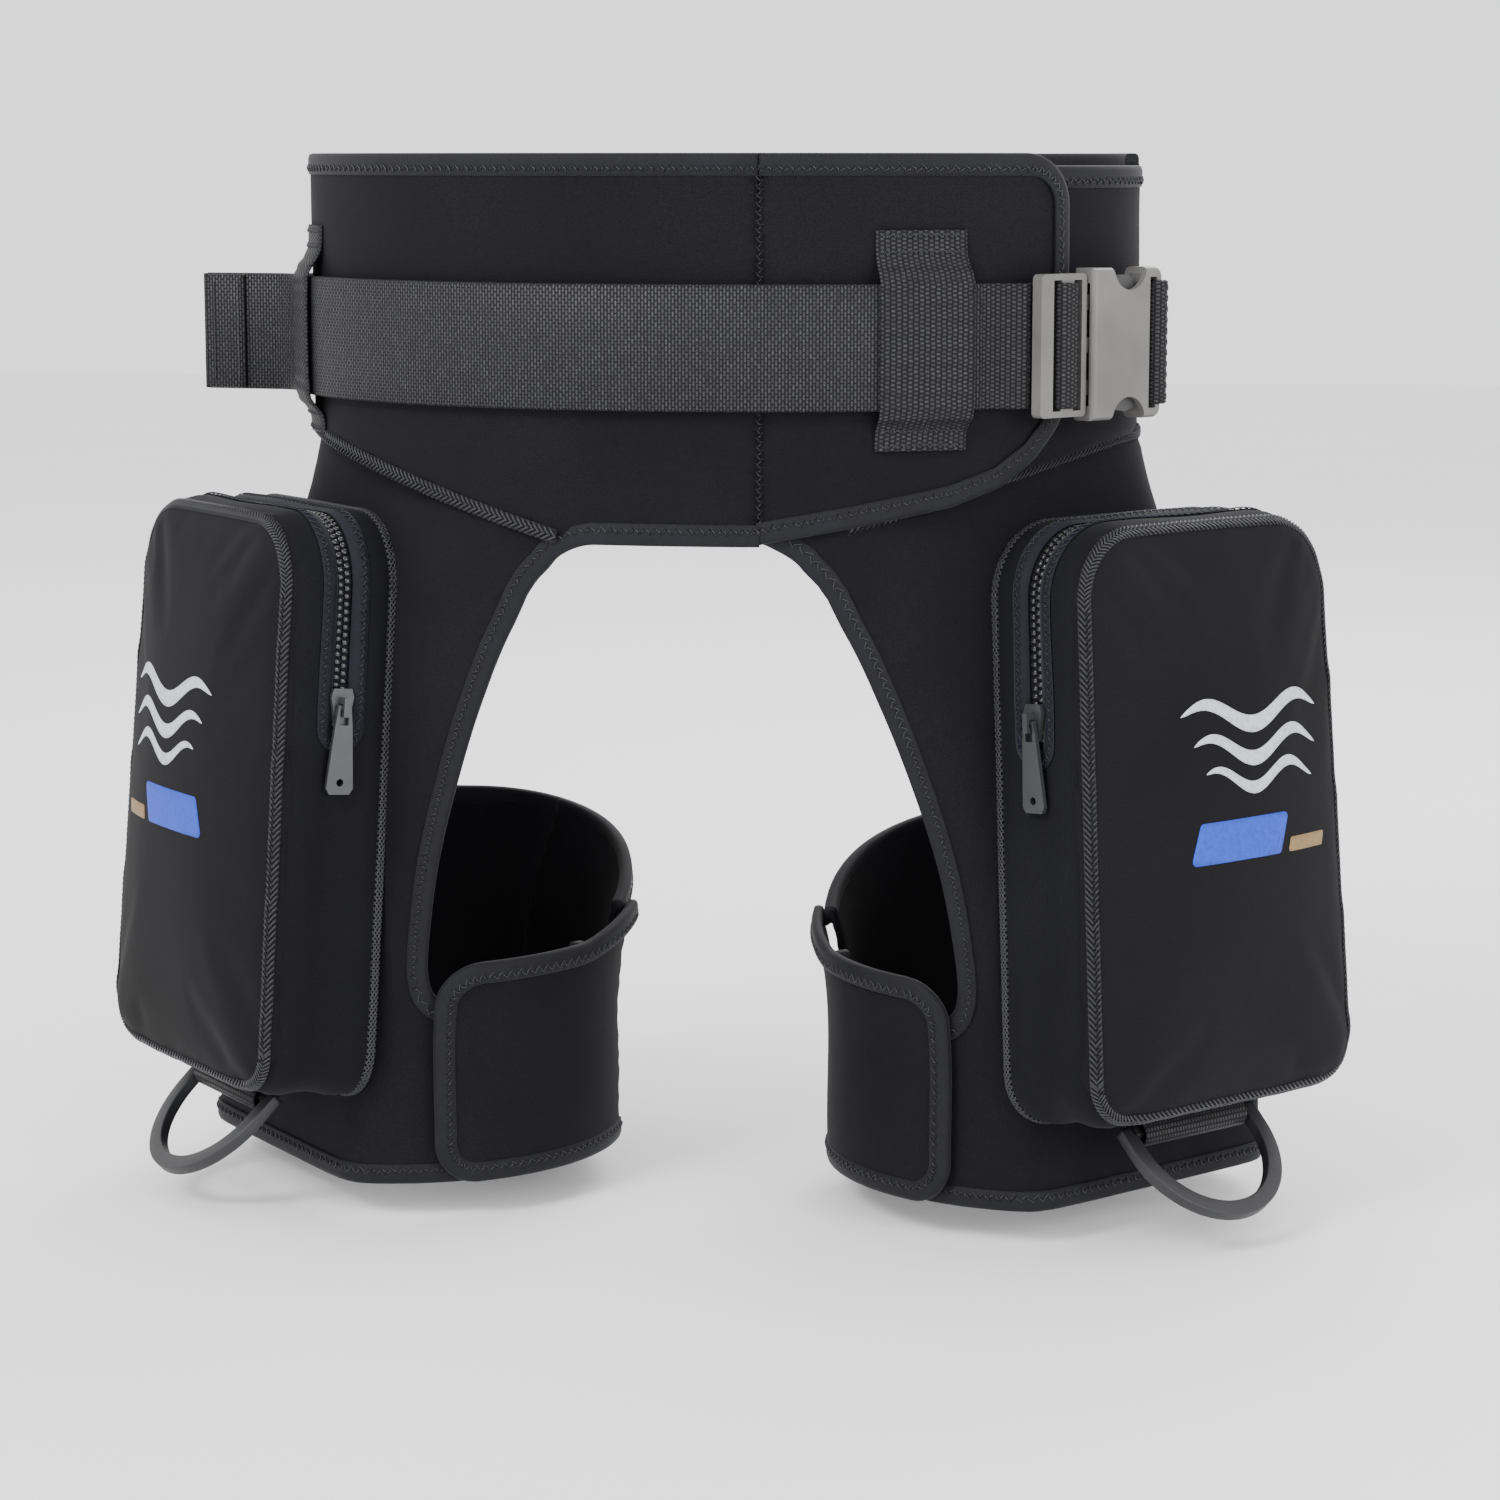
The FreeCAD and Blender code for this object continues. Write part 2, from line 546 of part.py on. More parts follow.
def pocket_ring(name, low, high, wall_in="0", wall_out="Dims.neoprene"):
    """Closed ring of the pocket's side wall between two distances from the leg."""
    body = doc.addObject("PartDesign::Body", name)
    outer = sketch(body, "OuterOutline", "XY_Plane", low)
    polygon(outer, inset(BASE_OUTLINE, f"{wall_in} + ({low}) * tan(Dims.gusset_taper)"))
    round_corners(body, pad(body, outer, f"{high} - ({low})", "-Dims.gusset_taper"))
    inner = doc.addObject("PartDesign::Body", name + "Space")
    hollow = sketch(inner, "InnerOutline", "XY_Plane", low)
    polygon(hollow, inset(BASE_OUTLINE, f"{wall_out} + ({low}) * tan(Dims.gusset_taper)"))
    round_corners(inner, pad(inner, hollow, f"{high} - ({low})", "-Dims.gusset_taper"))
    ring = doc.addObject("Part::Cut", name + "Ring")
    ring.Base = body
    ring.Tool = inner
    doc.recompute()
    return ring


def upper_space(name, low, high):
    """Block over the upper stretch of the side wall, where the zip runs."""
    block = doc.addObject("Part::Box", name)
    block.Length = 220
    block.Width = 160
    block.setExpression("Height", f"{high} - ({low})")
    block.Placement.Base = Vec(-110, dim("zip_low"), 0)
    block.setExpression("Placement.Base.z", low)
    return block


def boolean(kind, name, base, tool, label, placement):
    result = doc.addObject(f"Part::{kind}", name)
    result.Base = base
    result.Tool = tool
    result.Placement = placement
    doc.recompute()
    return keep(result, label)


def zip_path(inset_by, height):
    """Line that the zip follows: up the inner side, over the top and down the outer side."""
    taper = math.tan(math.radians(dim("gusset_taper"))) * height + inset_by
    slope = (dim("base_half_bottom") - dim("base_half_top")) / (dim("base_high") - dim("base_low"))
    top = dim("base_high") - taper
    low = dim("zip_low")

    def half(level):
        return dim("base_half_top") + (dim("base_high") - level) * slope - taper

    radius = 32.0 - inset_by
    corner = half(top)
    lean = math.atan(slope)
    reach = radius * math.tan((math.pi / 2 - lean) / 2)
    side_point = Vec(corner + reach * math.sin(lean), top - reach * math.cos(lean), 0)
    top_point = Vec(corner - reach, top, 0)
    centre = Vec(corner - reach, top - radius, 0)
    bisect = (Vec(corner, top, 0) - centre).normalize()
    middle = centre + bisect * radius
    low_point = Vec(half(low), low, 0)

    def flip(point):
        return Vec(-point.x, point.y, 0)

    edges = [Part.makeLine(flip(low_point), flip(side_point)),
             Part.Arc(flip(side_point), flip(middle), flip(top_point)).toShape(),
             Part.makeLine(flip(top_point), top_point),
             Part.Arc(top_point, middle, side_point).toShape(),
             Part.makeLine(side_point, low_point)]
    path = Part.Wire(edges)
    path.translate(Vec(0, 0, height))
    return path


ZIP_MIDDLE = dim("zip_level") + dim("zip_width") / 2
TOOTH_SIZE = (1.7, 1.5, 1.9)
TOOTH_ROW = 1.75


def zip_teeth():
    """Two rows of moulded teeth along the zip, staggered, one small solid each."""
    path = zip_path(0.6, ZIP_MIDDLE)
    count = int(path.Length / dim("tooth_pitch"))
    points = path.discretize(Number=2 * count + 1)
    teeth = []
    for number in range(3, 2 * count - 2):
        row = 1 if number % 2 else -1
        ahead = (points[number + 1] - points[number - 1]).normalize()
        outward = Vec(0, 0, 1).cross(ahead)
        tooth = Part.makeBox(TOOTH_SIZE[0], TOOTH_SIZE[1], TOOTH_SIZE[2],
                             Vec(-TOOTH_SIZE[0] / 2, -TOOTH_SIZE[1] / 2, -TOOTH_SIZE[2] / 2))
        tooth.Placement = frame_placement(points[number] + Vec(0, 0, row * TOOTH_ROW), ahead, Vec(0, 0, 1),
                                          outward)
        teeth.append(tooth)
    return Part.makeCompound(teeth)


def zip_place(path_inset, distance, inner):
    """Frame on the zip's straight inner side: x along the zip (up), y outward from the wall, z to the face."""
    path = zip_path(path_inset, ZIP_MIDDLE)
    side = path.Edges[0]
    low, high = side.Vertexes[0].Point, side.Vertexes[1].Point
    if low.y > high.y:
        low, high = high, low
    if inner > 0:
        low, high = Vec(-low.x, low.y, low.z), Vec(-high.x, high.y, high.z)
    ahead = (high - low).normalize()
    outward = Vec(0, 0, 1).cross(ahead) * (-1 if inner > 0 else 1)
    return low + ahead * distance, ahead, outward


def zip_slider(side, inner, placement):
    """Slider: outer plate and inner plate joined by a neck between the rows of teeth; gives its placement."""
    body = doc.addObject("PartDesign::Body", f"Slider{side}")
    for name, low, thick, half in (("OuterPlate", "1.6", "2.0", "5.2"), ("InnerPlate", "-3.0", "1.4", "3.1")):
        outline = sketch(body, name, "XY_Plane", low)
        polygon(outline, [("-7.5", f"-{half} * 0.6"), ("4", f"-{half}"), ("7.5", f"-{half} * 0.8"),
                          ("7.5", f"{half} * 0.8"), ("4", half), ("-7.5", f"{half} * 0.6")])
        if name == "OuterPlate":
            pad(body, outline, thick)
            neck = sketch(body, "Neck", "XY_Plane", "-2.9")
            rectangle(neck, "3", "7", "-0.5", "0.5")
            pad(body, neck, "5")
            bridge = sketch(body, "Bridge", "XY_Plane", "3.5")
            rectangle(bridge, "-4", "4", "-1.3", "1.3")
            pad(body, bridge, "4.5")
            eye = sketch(body, "Eye", "XZ_Plane", "-3")
            rectangle(eye, "-1.5", "1.5", "3.9", "6.7")
            pocket(body, eye, "6")
        else:
            pad(body, outline, thick)
    origin, ahead, outward = zip_place(0.6, 10, inner)
    local = frame_placement(origin, ahead, outward.cross(ahead), outward)
    body.Placement = placement.multiply(local)
    keep(body, f"{side}_zip_slider")
    return body.Placement


PULL_PIVOT = 5.3


def zip_pull(side, slider_place):
    """Moulded pull hanging from the slider's bridge by a loop."""
    body = doc.addObject("PartDesign::Body", f"Pull{side}")
    outline = sketch(body, "PullOutline", "XY_Plane", "-0.9")
    polygon(outline, [("0.8", "-2.9"), ("-8", "-4"), ("-34", "-6.2"), ("-36.5", "-4.6"), ("-36.5", "4.6"),
                      ("-34", "6.2"), ("-8", "4"), ("0.8", "2.9")])
    pad(body, outline, "1.8")
    opening = sketch(body, "LoopOpening", "XY_Plane", "-3")
    rectangle(opening, "-7.5", "-0.8", "-2", "2")
    pocket(body, opening, "6")
    hole = sketch(body, "GripHole", "XY_Plane", "-3")
    circle(hole, "-31.5", "0", "1.6")
    pocket(body, hole, "6")
    hang = FreeCAD.Placement(Vec(0, 0, PULL_PIVOT), FreeCAD.Rotation(Vec(0, 1, 0), -3))
    body.Placement = slider_place.multiply(hang)
    return keep(body, f"{side}_zip_pull")


def d_ring(side, placement):
    """Flat D-ring: straight bar at the top, round below, hung under the pocket."""
    body = doc.addObject("PartDesign::Body", f"DRing{side}")
    outer = sketch(body, "OuterD", "XY_Plane", "-Dims.ring_bar / 2")
    arc_outline(outer)
    pad(body, outer, "Dims.ring_bar")
    hole = sketch(body, "InnerD", "XY_Plane", "-8")
    arc_outline(hole, True)
    pocket(body, hole, "16")
    body.Placement = placement
    return keep(body, f"{side}_d_ring")


def arc_outline(drawing, hole=False):
    """D outline: straight top at the bar, two short arms and a half circle, fixed by its corner points."""
    shrink = " - Dims.ring_face" if hole else ""
    level = "-Dims.ring_bar / 2" if hole else "Dims.ring_bar / 2"
    radius = value_of(f"Dims.dring_half_width{shrink}")
    top = value_of(level)
    drop = dim("dring_depth") - dim("dring_half_width")
    left, right = Vec(-radius, top, 0), Vec(radius, top, 0)
    left_low, right_low = Vec(-radius, -drop, 0), Vec(radius, -drop, 0)
    drawing.addGeometry(Part.LineSegment(left, right))
    drawing.addGeometry(Part.LineSegment(right, right_low))
    drawing.addGeometry(Part.ArcOfCircle(Part.Circle(Vec(0, -drop, 0), Vec(0, 0, 1), radius), math.pi,
                                         2 * math.pi))
    drawing.addGeometry(Part.LineSegment(left_low, left))
    for first, end, second, start in ((0, 2, 1, 1), (1, 2, 2, 2), (2, 1, 3, 1), (3, 2, 0, 1)):
        drawing.addConstraint(Sketcher.Constraint("Coincident", first, end, second, start))
    drawing.addConstraint(Sketcher.Constraint("Horizontal", 0))
    drawing.addConstraint(Sketcher.Constraint("Vertical", 1))
    drawing.addConstraint(Sketcher.Constraint("Vertical", 3))
    for kind, geometry, point, expression in (
            ("DistanceX", 0, 1, f"-(Dims.dring_half_width{shrink})"), ("DistanceY", 0, 1, level),
            ("DistanceX", 0, 2, f"Dims.dring_half_width{shrink}"),
            ("DistanceY", 2, 3, "-(Dims.dring_depth - Dims.dring_half_width)"),
            ("DistanceY", 1, 2, "-(Dims.dring_depth - Dims.dring_half_width)")):
        number = drawing.addConstraint(Sketcher.Constraint(kind, -1, 1, geometry, point, value_of(expression)))
        drawing.setExpression(f"Constraints[{number}]", expression)


DRING_DROP, DRING_LEVEL = 7.5, 24.0
STOP = (2.6, 5.0, 1.9)
for side in ("right", "left"):
    inner = -1 if side == "right" else 1
    place = pocket_placement(side)
    ring = pocket_ring(f"Gusset{side}", "0.3", "Dims.gusset_depth")
    channel = upper_space(f"ZipChannel{side}", "Dims.zip_level", "Dims.zip_level + Dims.zip_width")
    boolean("Cut", f"GussetCut{side}", ring, channel, f"{side}_pocket_gusset", place)
    strip = pocket_ring(f"Tape{side}", "Dims.zip_level + 0.1", "Dims.zip_level + Dims.zip_width - 0.1", "0.1",
                        "1.1")
    zone = upper_space(f"TapeZone{side}", "Dims.zip_level", "Dims.zip_level + Dims.zip_width")
    both = doc.addObject("Part::Common", f"TapeCommon{side}")
    both.Base = strip
    both.Tool = zone
    gap = upper_space(f"TapeGap{side}", "Dims.zip_level + 0.9", "Dims.zip_level + Dims.zip_width - 0.9")
    boolean("Cut", f"TapeCut{side}", both, gap, f"{side}_zip_tape", place)
    teeth = zip_teeth()
    feature(f"{side}_zip_teeth", teeth, place)
    stops = []
    for end in (-1, 1):
        origin, ahead, outward = zip_place(0.6, 1.6, end)
        stop = Part.makeBox(STOP[0], STOP[1], STOP[2], Vec(-STOP[0] / 2, -STOP[1] / 2, -STOP[2] / 2))
        stop.Placement = frame_placement(origin, ahead, outward.cross(ahead), outward)
        stops.append(stop)
    feature(f"{side}_zip_end_stops", Part.makeCompound(stops), place)

    body = doc.addObject("PartDesign::Body", f"Face{side}")
    outline = sketch(body, "FaceOutline", "XY_Plane", "Dims.gusset_depth")
    polygon(outline, inset(BASE_OUTLINE, "Dims.gusset_depth * tan(Dims.gusset_taper)"))
    slab = round_corners(body, pad(body, outline, "Dims.face_thick", "-Dims.gusset_taper"))
    front = dim("gusset_depth") + dim("face_thick")
    fillet(body, slab, level_edges(slab, front), "Dims.face_thick * 0.8")
    body.Placement = place
    keep(body, f"{side}_pocket_face")

    zip_pull(side, zip_slider(side, inner, place))

    hinge = frame_placement(Vec(0, dim("base_low") - DRING_DROP, DRING_LEVEL), Vec(1, 0, 0), Vec(0, 1, 0),
                            Vec(0, 0, 1))
    swing = FreeCAD.Placement(Vec(0, 0, 0), FreeCAD.Rotation(Vec(1, 0, 0), -dim("dring_swing")))
    d_ring(side, place.multiply(hinge).multiply(swing))
    tube = Part.makeCylinder(5.6, 60, Vec(-30, 0, 0), Vec(1, 0, 0))
    tube = tube.cut(Part.makeCylinder(4.0, 70, Vec(-35, 0, 0), Vec(1, 0, 0)))
    strap_leaf = Part.makeBox(60, 2.4, DRING_LEVEL - 0.6, Vec(-30, DRING_DROP - 3.0, -DRING_LEVEL + 0.3))
    webbing = tube.fuse(strap_leaf).cut(Part.makeCylinder(4.0, 70, Vec(-35, 0, 0), Vec(1, 0, 0)))
    feature(f"{side}_d_ring_webbing", webbing, place.multiply(hinge))

# ---------------------------------------------------------------- check and write
doc.recompute()
os.makedirs("parts", exist_ok=True)
for item in doc.Objects:
    if "Invalid" in item.State or "Error" in item.State:
        raise RuntimeError(f"{item.Name} failed: {item.State}")
for item in subparts:
    if item.Shape.isNull() or not item.Shape.isValid():
        raise RuntimeError(f"{item.Label}: shape is null or not valid")
    item.Shape.exportStep(os.path.join("parts", item.Label + ".step"))
    box = item.Shape.BoundBox
    print(f"{item.Label:26s} {len(item.Shape.Solids):3d} solids {item.Shape.Volume / 1000:8.2f} cm3  "
          f"x {box.XMin:7.1f} {box.XMax:7.1f}  y {box.YMin:7.1f} {box.YMax:7.1f}  z {box.ZMin:7.1f} {box.ZMax:7.1f}")
print(len(subparts), "sub-parts")
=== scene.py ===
"""Looks of the neoprene pocket belt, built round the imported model.

Working units are millimetres in the part's own frame; meshes are written in metres.  The right leg and pocket
are built once and mirrored in x for the left.
"""
import math
import bpy
import numpy as np
from mathutils import Matrix, Vector
from mathutils.bvhtree import BVHTree
from mathutils.geometry import delaunay_2d_cdt


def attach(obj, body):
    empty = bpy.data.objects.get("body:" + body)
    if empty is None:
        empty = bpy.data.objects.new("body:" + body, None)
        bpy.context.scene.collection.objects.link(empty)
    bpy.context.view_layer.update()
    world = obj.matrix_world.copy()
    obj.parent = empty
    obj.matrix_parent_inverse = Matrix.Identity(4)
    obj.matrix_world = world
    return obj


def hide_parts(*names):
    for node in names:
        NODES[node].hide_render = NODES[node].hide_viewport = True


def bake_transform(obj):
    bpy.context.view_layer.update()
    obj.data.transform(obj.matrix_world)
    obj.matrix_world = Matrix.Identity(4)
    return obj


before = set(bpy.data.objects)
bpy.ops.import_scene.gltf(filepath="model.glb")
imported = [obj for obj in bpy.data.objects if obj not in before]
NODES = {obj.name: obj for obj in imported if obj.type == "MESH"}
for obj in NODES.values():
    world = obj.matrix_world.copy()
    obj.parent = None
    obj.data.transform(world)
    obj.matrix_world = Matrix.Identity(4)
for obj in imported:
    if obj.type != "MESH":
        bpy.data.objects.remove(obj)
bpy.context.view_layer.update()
MM = 0.001

# -------------------- sizes taken from the model, in millimetres
WAIST_A, WAIST_B = 177.0, 118.0
NEOPRENE = 4.0
WAIST_TOP, UNDER_TOP = 75.0, 70.0
FLAP_END, UNDER_START = 56.0, 2.0
BACK_RIGHT, BACK_LEFT, BACK_END = 100.0, -100.0, 260.0
BUTT_SEAM = 11.0
HALF_WEB, WEB = 25.0, 1.8
INNER_STRAND, OUTER_STRAND = 1.4, 3.5
TURN_START = 40.0
BIND_W, BIND_T = 8.0, 0.9
BIND_STEP, SEAM_STEP = 2.2, 1.25
SEAM_LINE = [(-200, -36), (-170, -41), (-100, -62), (-45, -78), (45, -78), (100, -62), (170, -41), (200, -36)]
FLAP_EDGE = [(0, -78), (30, -78), (70, -71), (110, -63), (128, -56), (140, -46), (148, -34), (153, -22)]
LEG_SECTIONS = [(-34, 0, 177, 118), (-60, 11, 172, 119), (-90, 38, 155, 117), (-135, 82, 126, 109),
                (-190, 118, 104, 98), (-250, 139, 94, 91), (-356, 145, 92, 88)]
ARCH = [(-72, 5), (-77, 36), (-90, 56), (-112, 69), (-145, 82), (-180, 92), (-215, 100), (-275, 107)]
ARCH_SPREAD, ARCH_FRONT = 0.30, -110.0
RING_X, RING_B, RING_LOW = 145.0, 88.0, -356.0
RING_TOP_FRONT, RING_TOP_BACK = -285.0, -215.0
CUFF_END, SEAM_BACK, STRAP_END, TAB_END = -70.0, 205.0, 270.0, -22.0
YAW, LEAN = math.radians(48), math.radians(5)
BASE_LOW, BASE_HIGH, HALF_BOTTOM, HALF_TOP = -119.0, 127.0, 79.0, 72.0
TOP_RADIUS, BOTTOM_RADIUS = 32.0, 22.0
GUSSET, TAPER = 44.0, math.tan(math.radians(3.5))
ZIP_LOW, ZIP_MIDDLE = 38.0, 22.5


# -------------------- materials
def socket(shader, name, value):
    shader.inputs[name].default_value = value


class Look:
    """Node tree of one material, with the links that every look here shares."""

    def __init__(self, name, colour, rough, sheen=0.0, specular=0.4, metallic=0.0):
        self.material = bpy.data.materials.new(name)
        self.material.use_nodes = True
        self.nodes = self.material.node_tree.nodes
        self.links = self.material.node_tree.links
        self.shader = self.nodes["Principled BSDF"]
        socket(self.shader, "Base Color", (*colour, 1))
        socket(self.shader, "Roughness", rough)
        socket(self.shader, "Metallic", metallic)
        socket(self.shader, "Specular IOR Level", specular)
        if sheen:
            socket(self.shader, "Sheen Weight", sheen)
            socket(self.shader, "Sheen Roughness", 0.45)
        self.coordinates = self.nodes.new("ShaderNodeTexCoord")

    def node(self, kind, **inputs):
        made = self.nodes.new(kind)
        for name, value in inputs.items():
            made.inputs[name.replace("_", " ")].default_value = value
        return made

    def noise(self, scale, detail=3.0, space="Object", roughness=0.55):
        made = self.node("ShaderNodeTexNoise", Scale=scale, Detail=detail, Roughness=roughness)
        self.links.new(self.coordinates.outputs[space], made.inputs["Vector"])
        return made.outputs["Fac"]

    def ramp(self, value, low, high, start=0.0, end=1.0):
        """Colour that runs from low to high as value runs from start to end."""
        made = self.nodes.new("ShaderNodeValToRGB")
        made.color_ramp.elements[0].position = start
        made.color_ramp.elements[1].position = end
        made.color_ramp.elements[0].color = (*low, 1)
        made.color_ramp.elements[1].color = (*high, 1)
        self.links.new(value, made.inputs["Fac"])
        return made.outputs["Color"]

    def multiply(self, first, second):
        made = self.nodes.new("ShaderNodeMix")
        made.data_type = "RGBA"
        made.blend_type = "MULTIPLY"
        made.inputs["Factor"].default_value = 1.0
        self.links.new(first, made.inputs[6])
        self.links.new(second, made.inputs[7])
        return made.outputs[2]

    def colour(self, value):
        self.links.new(value, self.shader.inputs["Base Color"])

    def rough(self, value, low, high):
        made = self.node("ShaderNodeMapRange", To_Min=low, To_Max=high)
        self.links.new(value, made.inputs["Value"])
        self.links.new(made.outputs["Result"], self.shader.inputs["Roughness"])

    def bump(self, value, strength, distance, after=None):
        made = self.node("ShaderNodeBump", Strength=strength, Distance=distance)
        self.links.new(value, made.inputs["Height"])
        if after:
            self.links.new(after, made.inputs["Normal"])
        self.links.new(made.outputs["Normal"], self.shader.inputs["Normal"])
        return made.outputs["Normal"]

    def brick(self, width, height, mortar, first, second, gap, place=None):
        """Staggered small cells on the UV map, sized in metres: the over-and-under of a weave or knit."""
        made = self.node("ShaderNodeTexBrick", Scale=1.0, Mortar_Size=mortar, Mortar_Smooth=0.8)
        made.inputs["Brick Width"].default_value = width
        made.inputs["Row Height"].default_value = height
        made.inputs["Color1"].default_value = (*first, 1)
        made.inputs["Color2"].default_value = (*second, 1)
        made.inputs["Mortar"].default_value = (*gap, 1)
        self.links.new(place or self.coordinates.outputs["UV"], made.inputs["Vector"])
        return made.outputs["Color"], made.outputs["Fac"]


def knit(name, colour, mottle=0.35, on_uv=True):
    """Nylon-faced neoprene: fine jersey knit over foam, faint mottling and a soft sheen."""
    look = Look(name, colour, 0.82, sheen=0.02, specular=0.12)
    fine = look.noise(2600.0, 2.0)
    cloud = look.noise(9.0, 4.0)
    low = tuple(c * (1 - mottle) for c in colour)
    high = tuple(c * (1 + mottle) for c in colour)
    shade = look.ramp(cloud, low, high, 0.3, 0.7)
    grain = look.ramp(fine, (0.45, 0.45, 0.46), (1.5, 1.5, 1.52), 0.3, 0.75)
    shade = look.multiply(shade, grain)
    normal = look.bump(look.noise(70.0, 3.0), 0.16, 0.0012)
    if on_uv:
        cells, gaps = look.brick(0.0011, 0.0007, 0.00012, (1.12, 1.12, 1.14), (0.92, 0.92, 0.93),
                                 (0.5, 0.5, 0.52))
        shade = look.multiply(shade, cells)
        normal = look.bump(gaps, -0.35, 0.00012, normal)
    look.bump(fine, 0.35, 0.00025, normal)
    look.colour(shade)
    look.rough(cloud, 0.74, 0.9)
    return look.material


def woven(name, dark, light, width, height, strength=0.8):
    """Polyester webbing: staggered shiny picks that stand across the strap, over dark gaps. The picks' colour is
    lighter than the black yarn as a painted highlight, and shaded is a painted shaded copy of it.
    """
    look = Look(name, light, 0.5, specular=0.25)
    turned = look.node("ShaderNodeMapping")
    turned.inputs["Rotation"].default_value = (0, 0, math.pi / 2)
    look.links.new(look.coordinates.outputs["UV"], turned.inputs["Vector"])
    # Painted shade: a darker copy of the picks' painted-highlight colour, which the brick texture gives to some
    # picks.
    shaded = tuple(c * 0.6 for c in light)
    mortar = min(width, height) * 0.40
    cells, gaps = look.brick(width, height, mortar, light, shaded, dark, turned.outputs["Vector"])
    grain = look.ramp(look.noise(1500.0, 2.0), (0.4, 0.4, 0.4), (1.7, 1.7, 1.72), 0.3, 0.72)
    look.colour(look.multiply(cells, grain))
    normal = look.bump(gaps, -strength, 0.0005)
    look.bump(look.noise(2200.0, 2.0), 0.3, 0.0002, normal)
    look.rough(gaps, 0.48, 0.8)
    return look.material


def moulded(name, colour, low, high, grain=1400.0, metallic=0.0, specular=0.5, coat=0.0):
    """Moulded or painted hardware: slight colour drift, fine texture, uneven gloss."""
    look = Look(name, colour, low, specular=specular, metallic=metallic)
    drift = look.noise(35.0, 4.0)
    shade = look.ramp(drift, tuple(c * 0.82 for c in colour), tuple(c * 1.2 for c in colour), 0.3, 0.7)
    look.colour(shade)
    look.rough(look.noise(160.0, 5.0), low, high)
    normal = look.bump(look.noise(grain, 2.0), 0.12, 0.0001)
    look.bump(drift, 0.05, 0.0006, normal)
    if coat:
        socket(look.shader, "Coat Weight", coat)
        socket(look.shader, "Coat Roughness", 0.25)
    return look.material


def thread(name, colour):
    """Twisted sewing thread with a little shine."""
    look = Look(name, colour, 0.5, sheen=0.03, specular=0.4)
    twist = look.noise(2400.0, 1.0)
    look.colour(look.ramp(twist, tuple(c * 0.5 for c in colour), tuple(c * 1.7 for c in colour), 0.35, 0.65))
    look.rough(twist, 0.4, 0.62)
    look.bump(twist, 0.5, 0.0002)
    return look.material


def tape(name, colour):
    """Folded stretch tape, denser and smoother than the neoprene's face."""
    look = Look(name, colour, 0.72, sheen=0.05, specular=0.2)
    cells, gaps = look.brick(0.0008, 0.0005, 0.0001, (1.15, 1.15, 1.15), (0.9, 0.9, 0.92), (0.6, 0.6, 0.62))
    cloud = look.noise(60.0, 3.0)
    shade = look.ramp(cloud, tuple(c * 0.75 for c in colour), tuple(c * 1.3 for c in colour), 0.3, 0.7)
    grain = look.ramp(look.noise(2300.0, 2.0), (0.6, 0.6, 0.6), (1.4, 1.4, 1.42), 0.3, 0.7)
    look.colour(look.multiply(look.multiply(shade, cells), grain))
    normal = look.bump(gaps, -0.3, 0.0001)
    look.bump(cloud, 0.2, 0.0008, normal)
    look.rough(cloud, 0.62, 0.8)
    return look.material


def pile(name, colour, scale, strength):
    """Hook or loop tape: a rough field of tiny tufts."""
    look = Look(name, colour, 0.9, sheen=0.25, specular=0.2)
    tufts = look.node("ShaderNodeTexVoronoi", Scale=scale)
    look.links.new(look.coordinates.outputs["Object"], tufts.inputs["Vector"])
    distance = tufts.outputs["Distance"]
    look.colour(look.ramp(distance, tuple(c * 1.9 for c in colour), tuple(c * 0.4 for c in colour), 0.1, 0.8))
    normal = look.bump(distance, strength, 0.0008)
    look.bump(look.noise(3000.0, 2.0), 0.4, 0.0003, normal)
    look.rough(look.noise(90.0), 0.8, 0.95)
    return look.material


def ink(name, colour):
    """Screen print on knit: the grain of the fabric shows through, a little worn."""
    look = Look(name, colour, 0.6, specular=0.35)
    worn = look.noise(420.0, 5.0)
    fine = look.noise(2600.0, 2.0)
    fresh = tuple(min(1.0, c * 1.12) for c in colour)
    shade = look.ramp(worn, tuple(c * 0.78 for c in colour), fresh, 0.25, 0.6)
    look.colour(look.multiply(shade, look.ramp(fine, (0.8, 0.8, 0.8), (1.1, 1.1, 1.1), 0.3, 0.6)))
    look.bump(fine, 0.3, 0.0002)
    look.rough(worn, 0.5, 0.72)
    return look.material


NEO = knit("neoprene_black", (0.0058, 0.0056, 0.0078))
NEO_POCKET = knit("neoprene_pocket", (0.0055, 0.0052, 0.0066), on_uv=False)
NEO_GUSSET = knit("neoprene_gusset", (0.0055, 0.0055, 0.0076))
TAPE = tape("stretch_tape_black", (0.0062, 0.0062, 0.0090))
NAVY = tape("stretch_tape_navy", (0.0052, 0.0056, 0.0112))
SEAM_BED = tape("seam_bed_black", (0.0028, 0.0028, 0.0038))
# The second colour of both webbings is lighter than their black yarn: a painted highlight on the picks.
WEBBING = woven("belt_webbing", (0.0012, 0.0012, 0.0014), (0.034, 0.034, 0.039), 0.0027, 0.00135)
RIBBED = woven("ribbed_webbing", (0.0012, 0.0012, 0.0014), (0.027, 0.027, 0.032), 0.0017, 0.0021, 1.0)
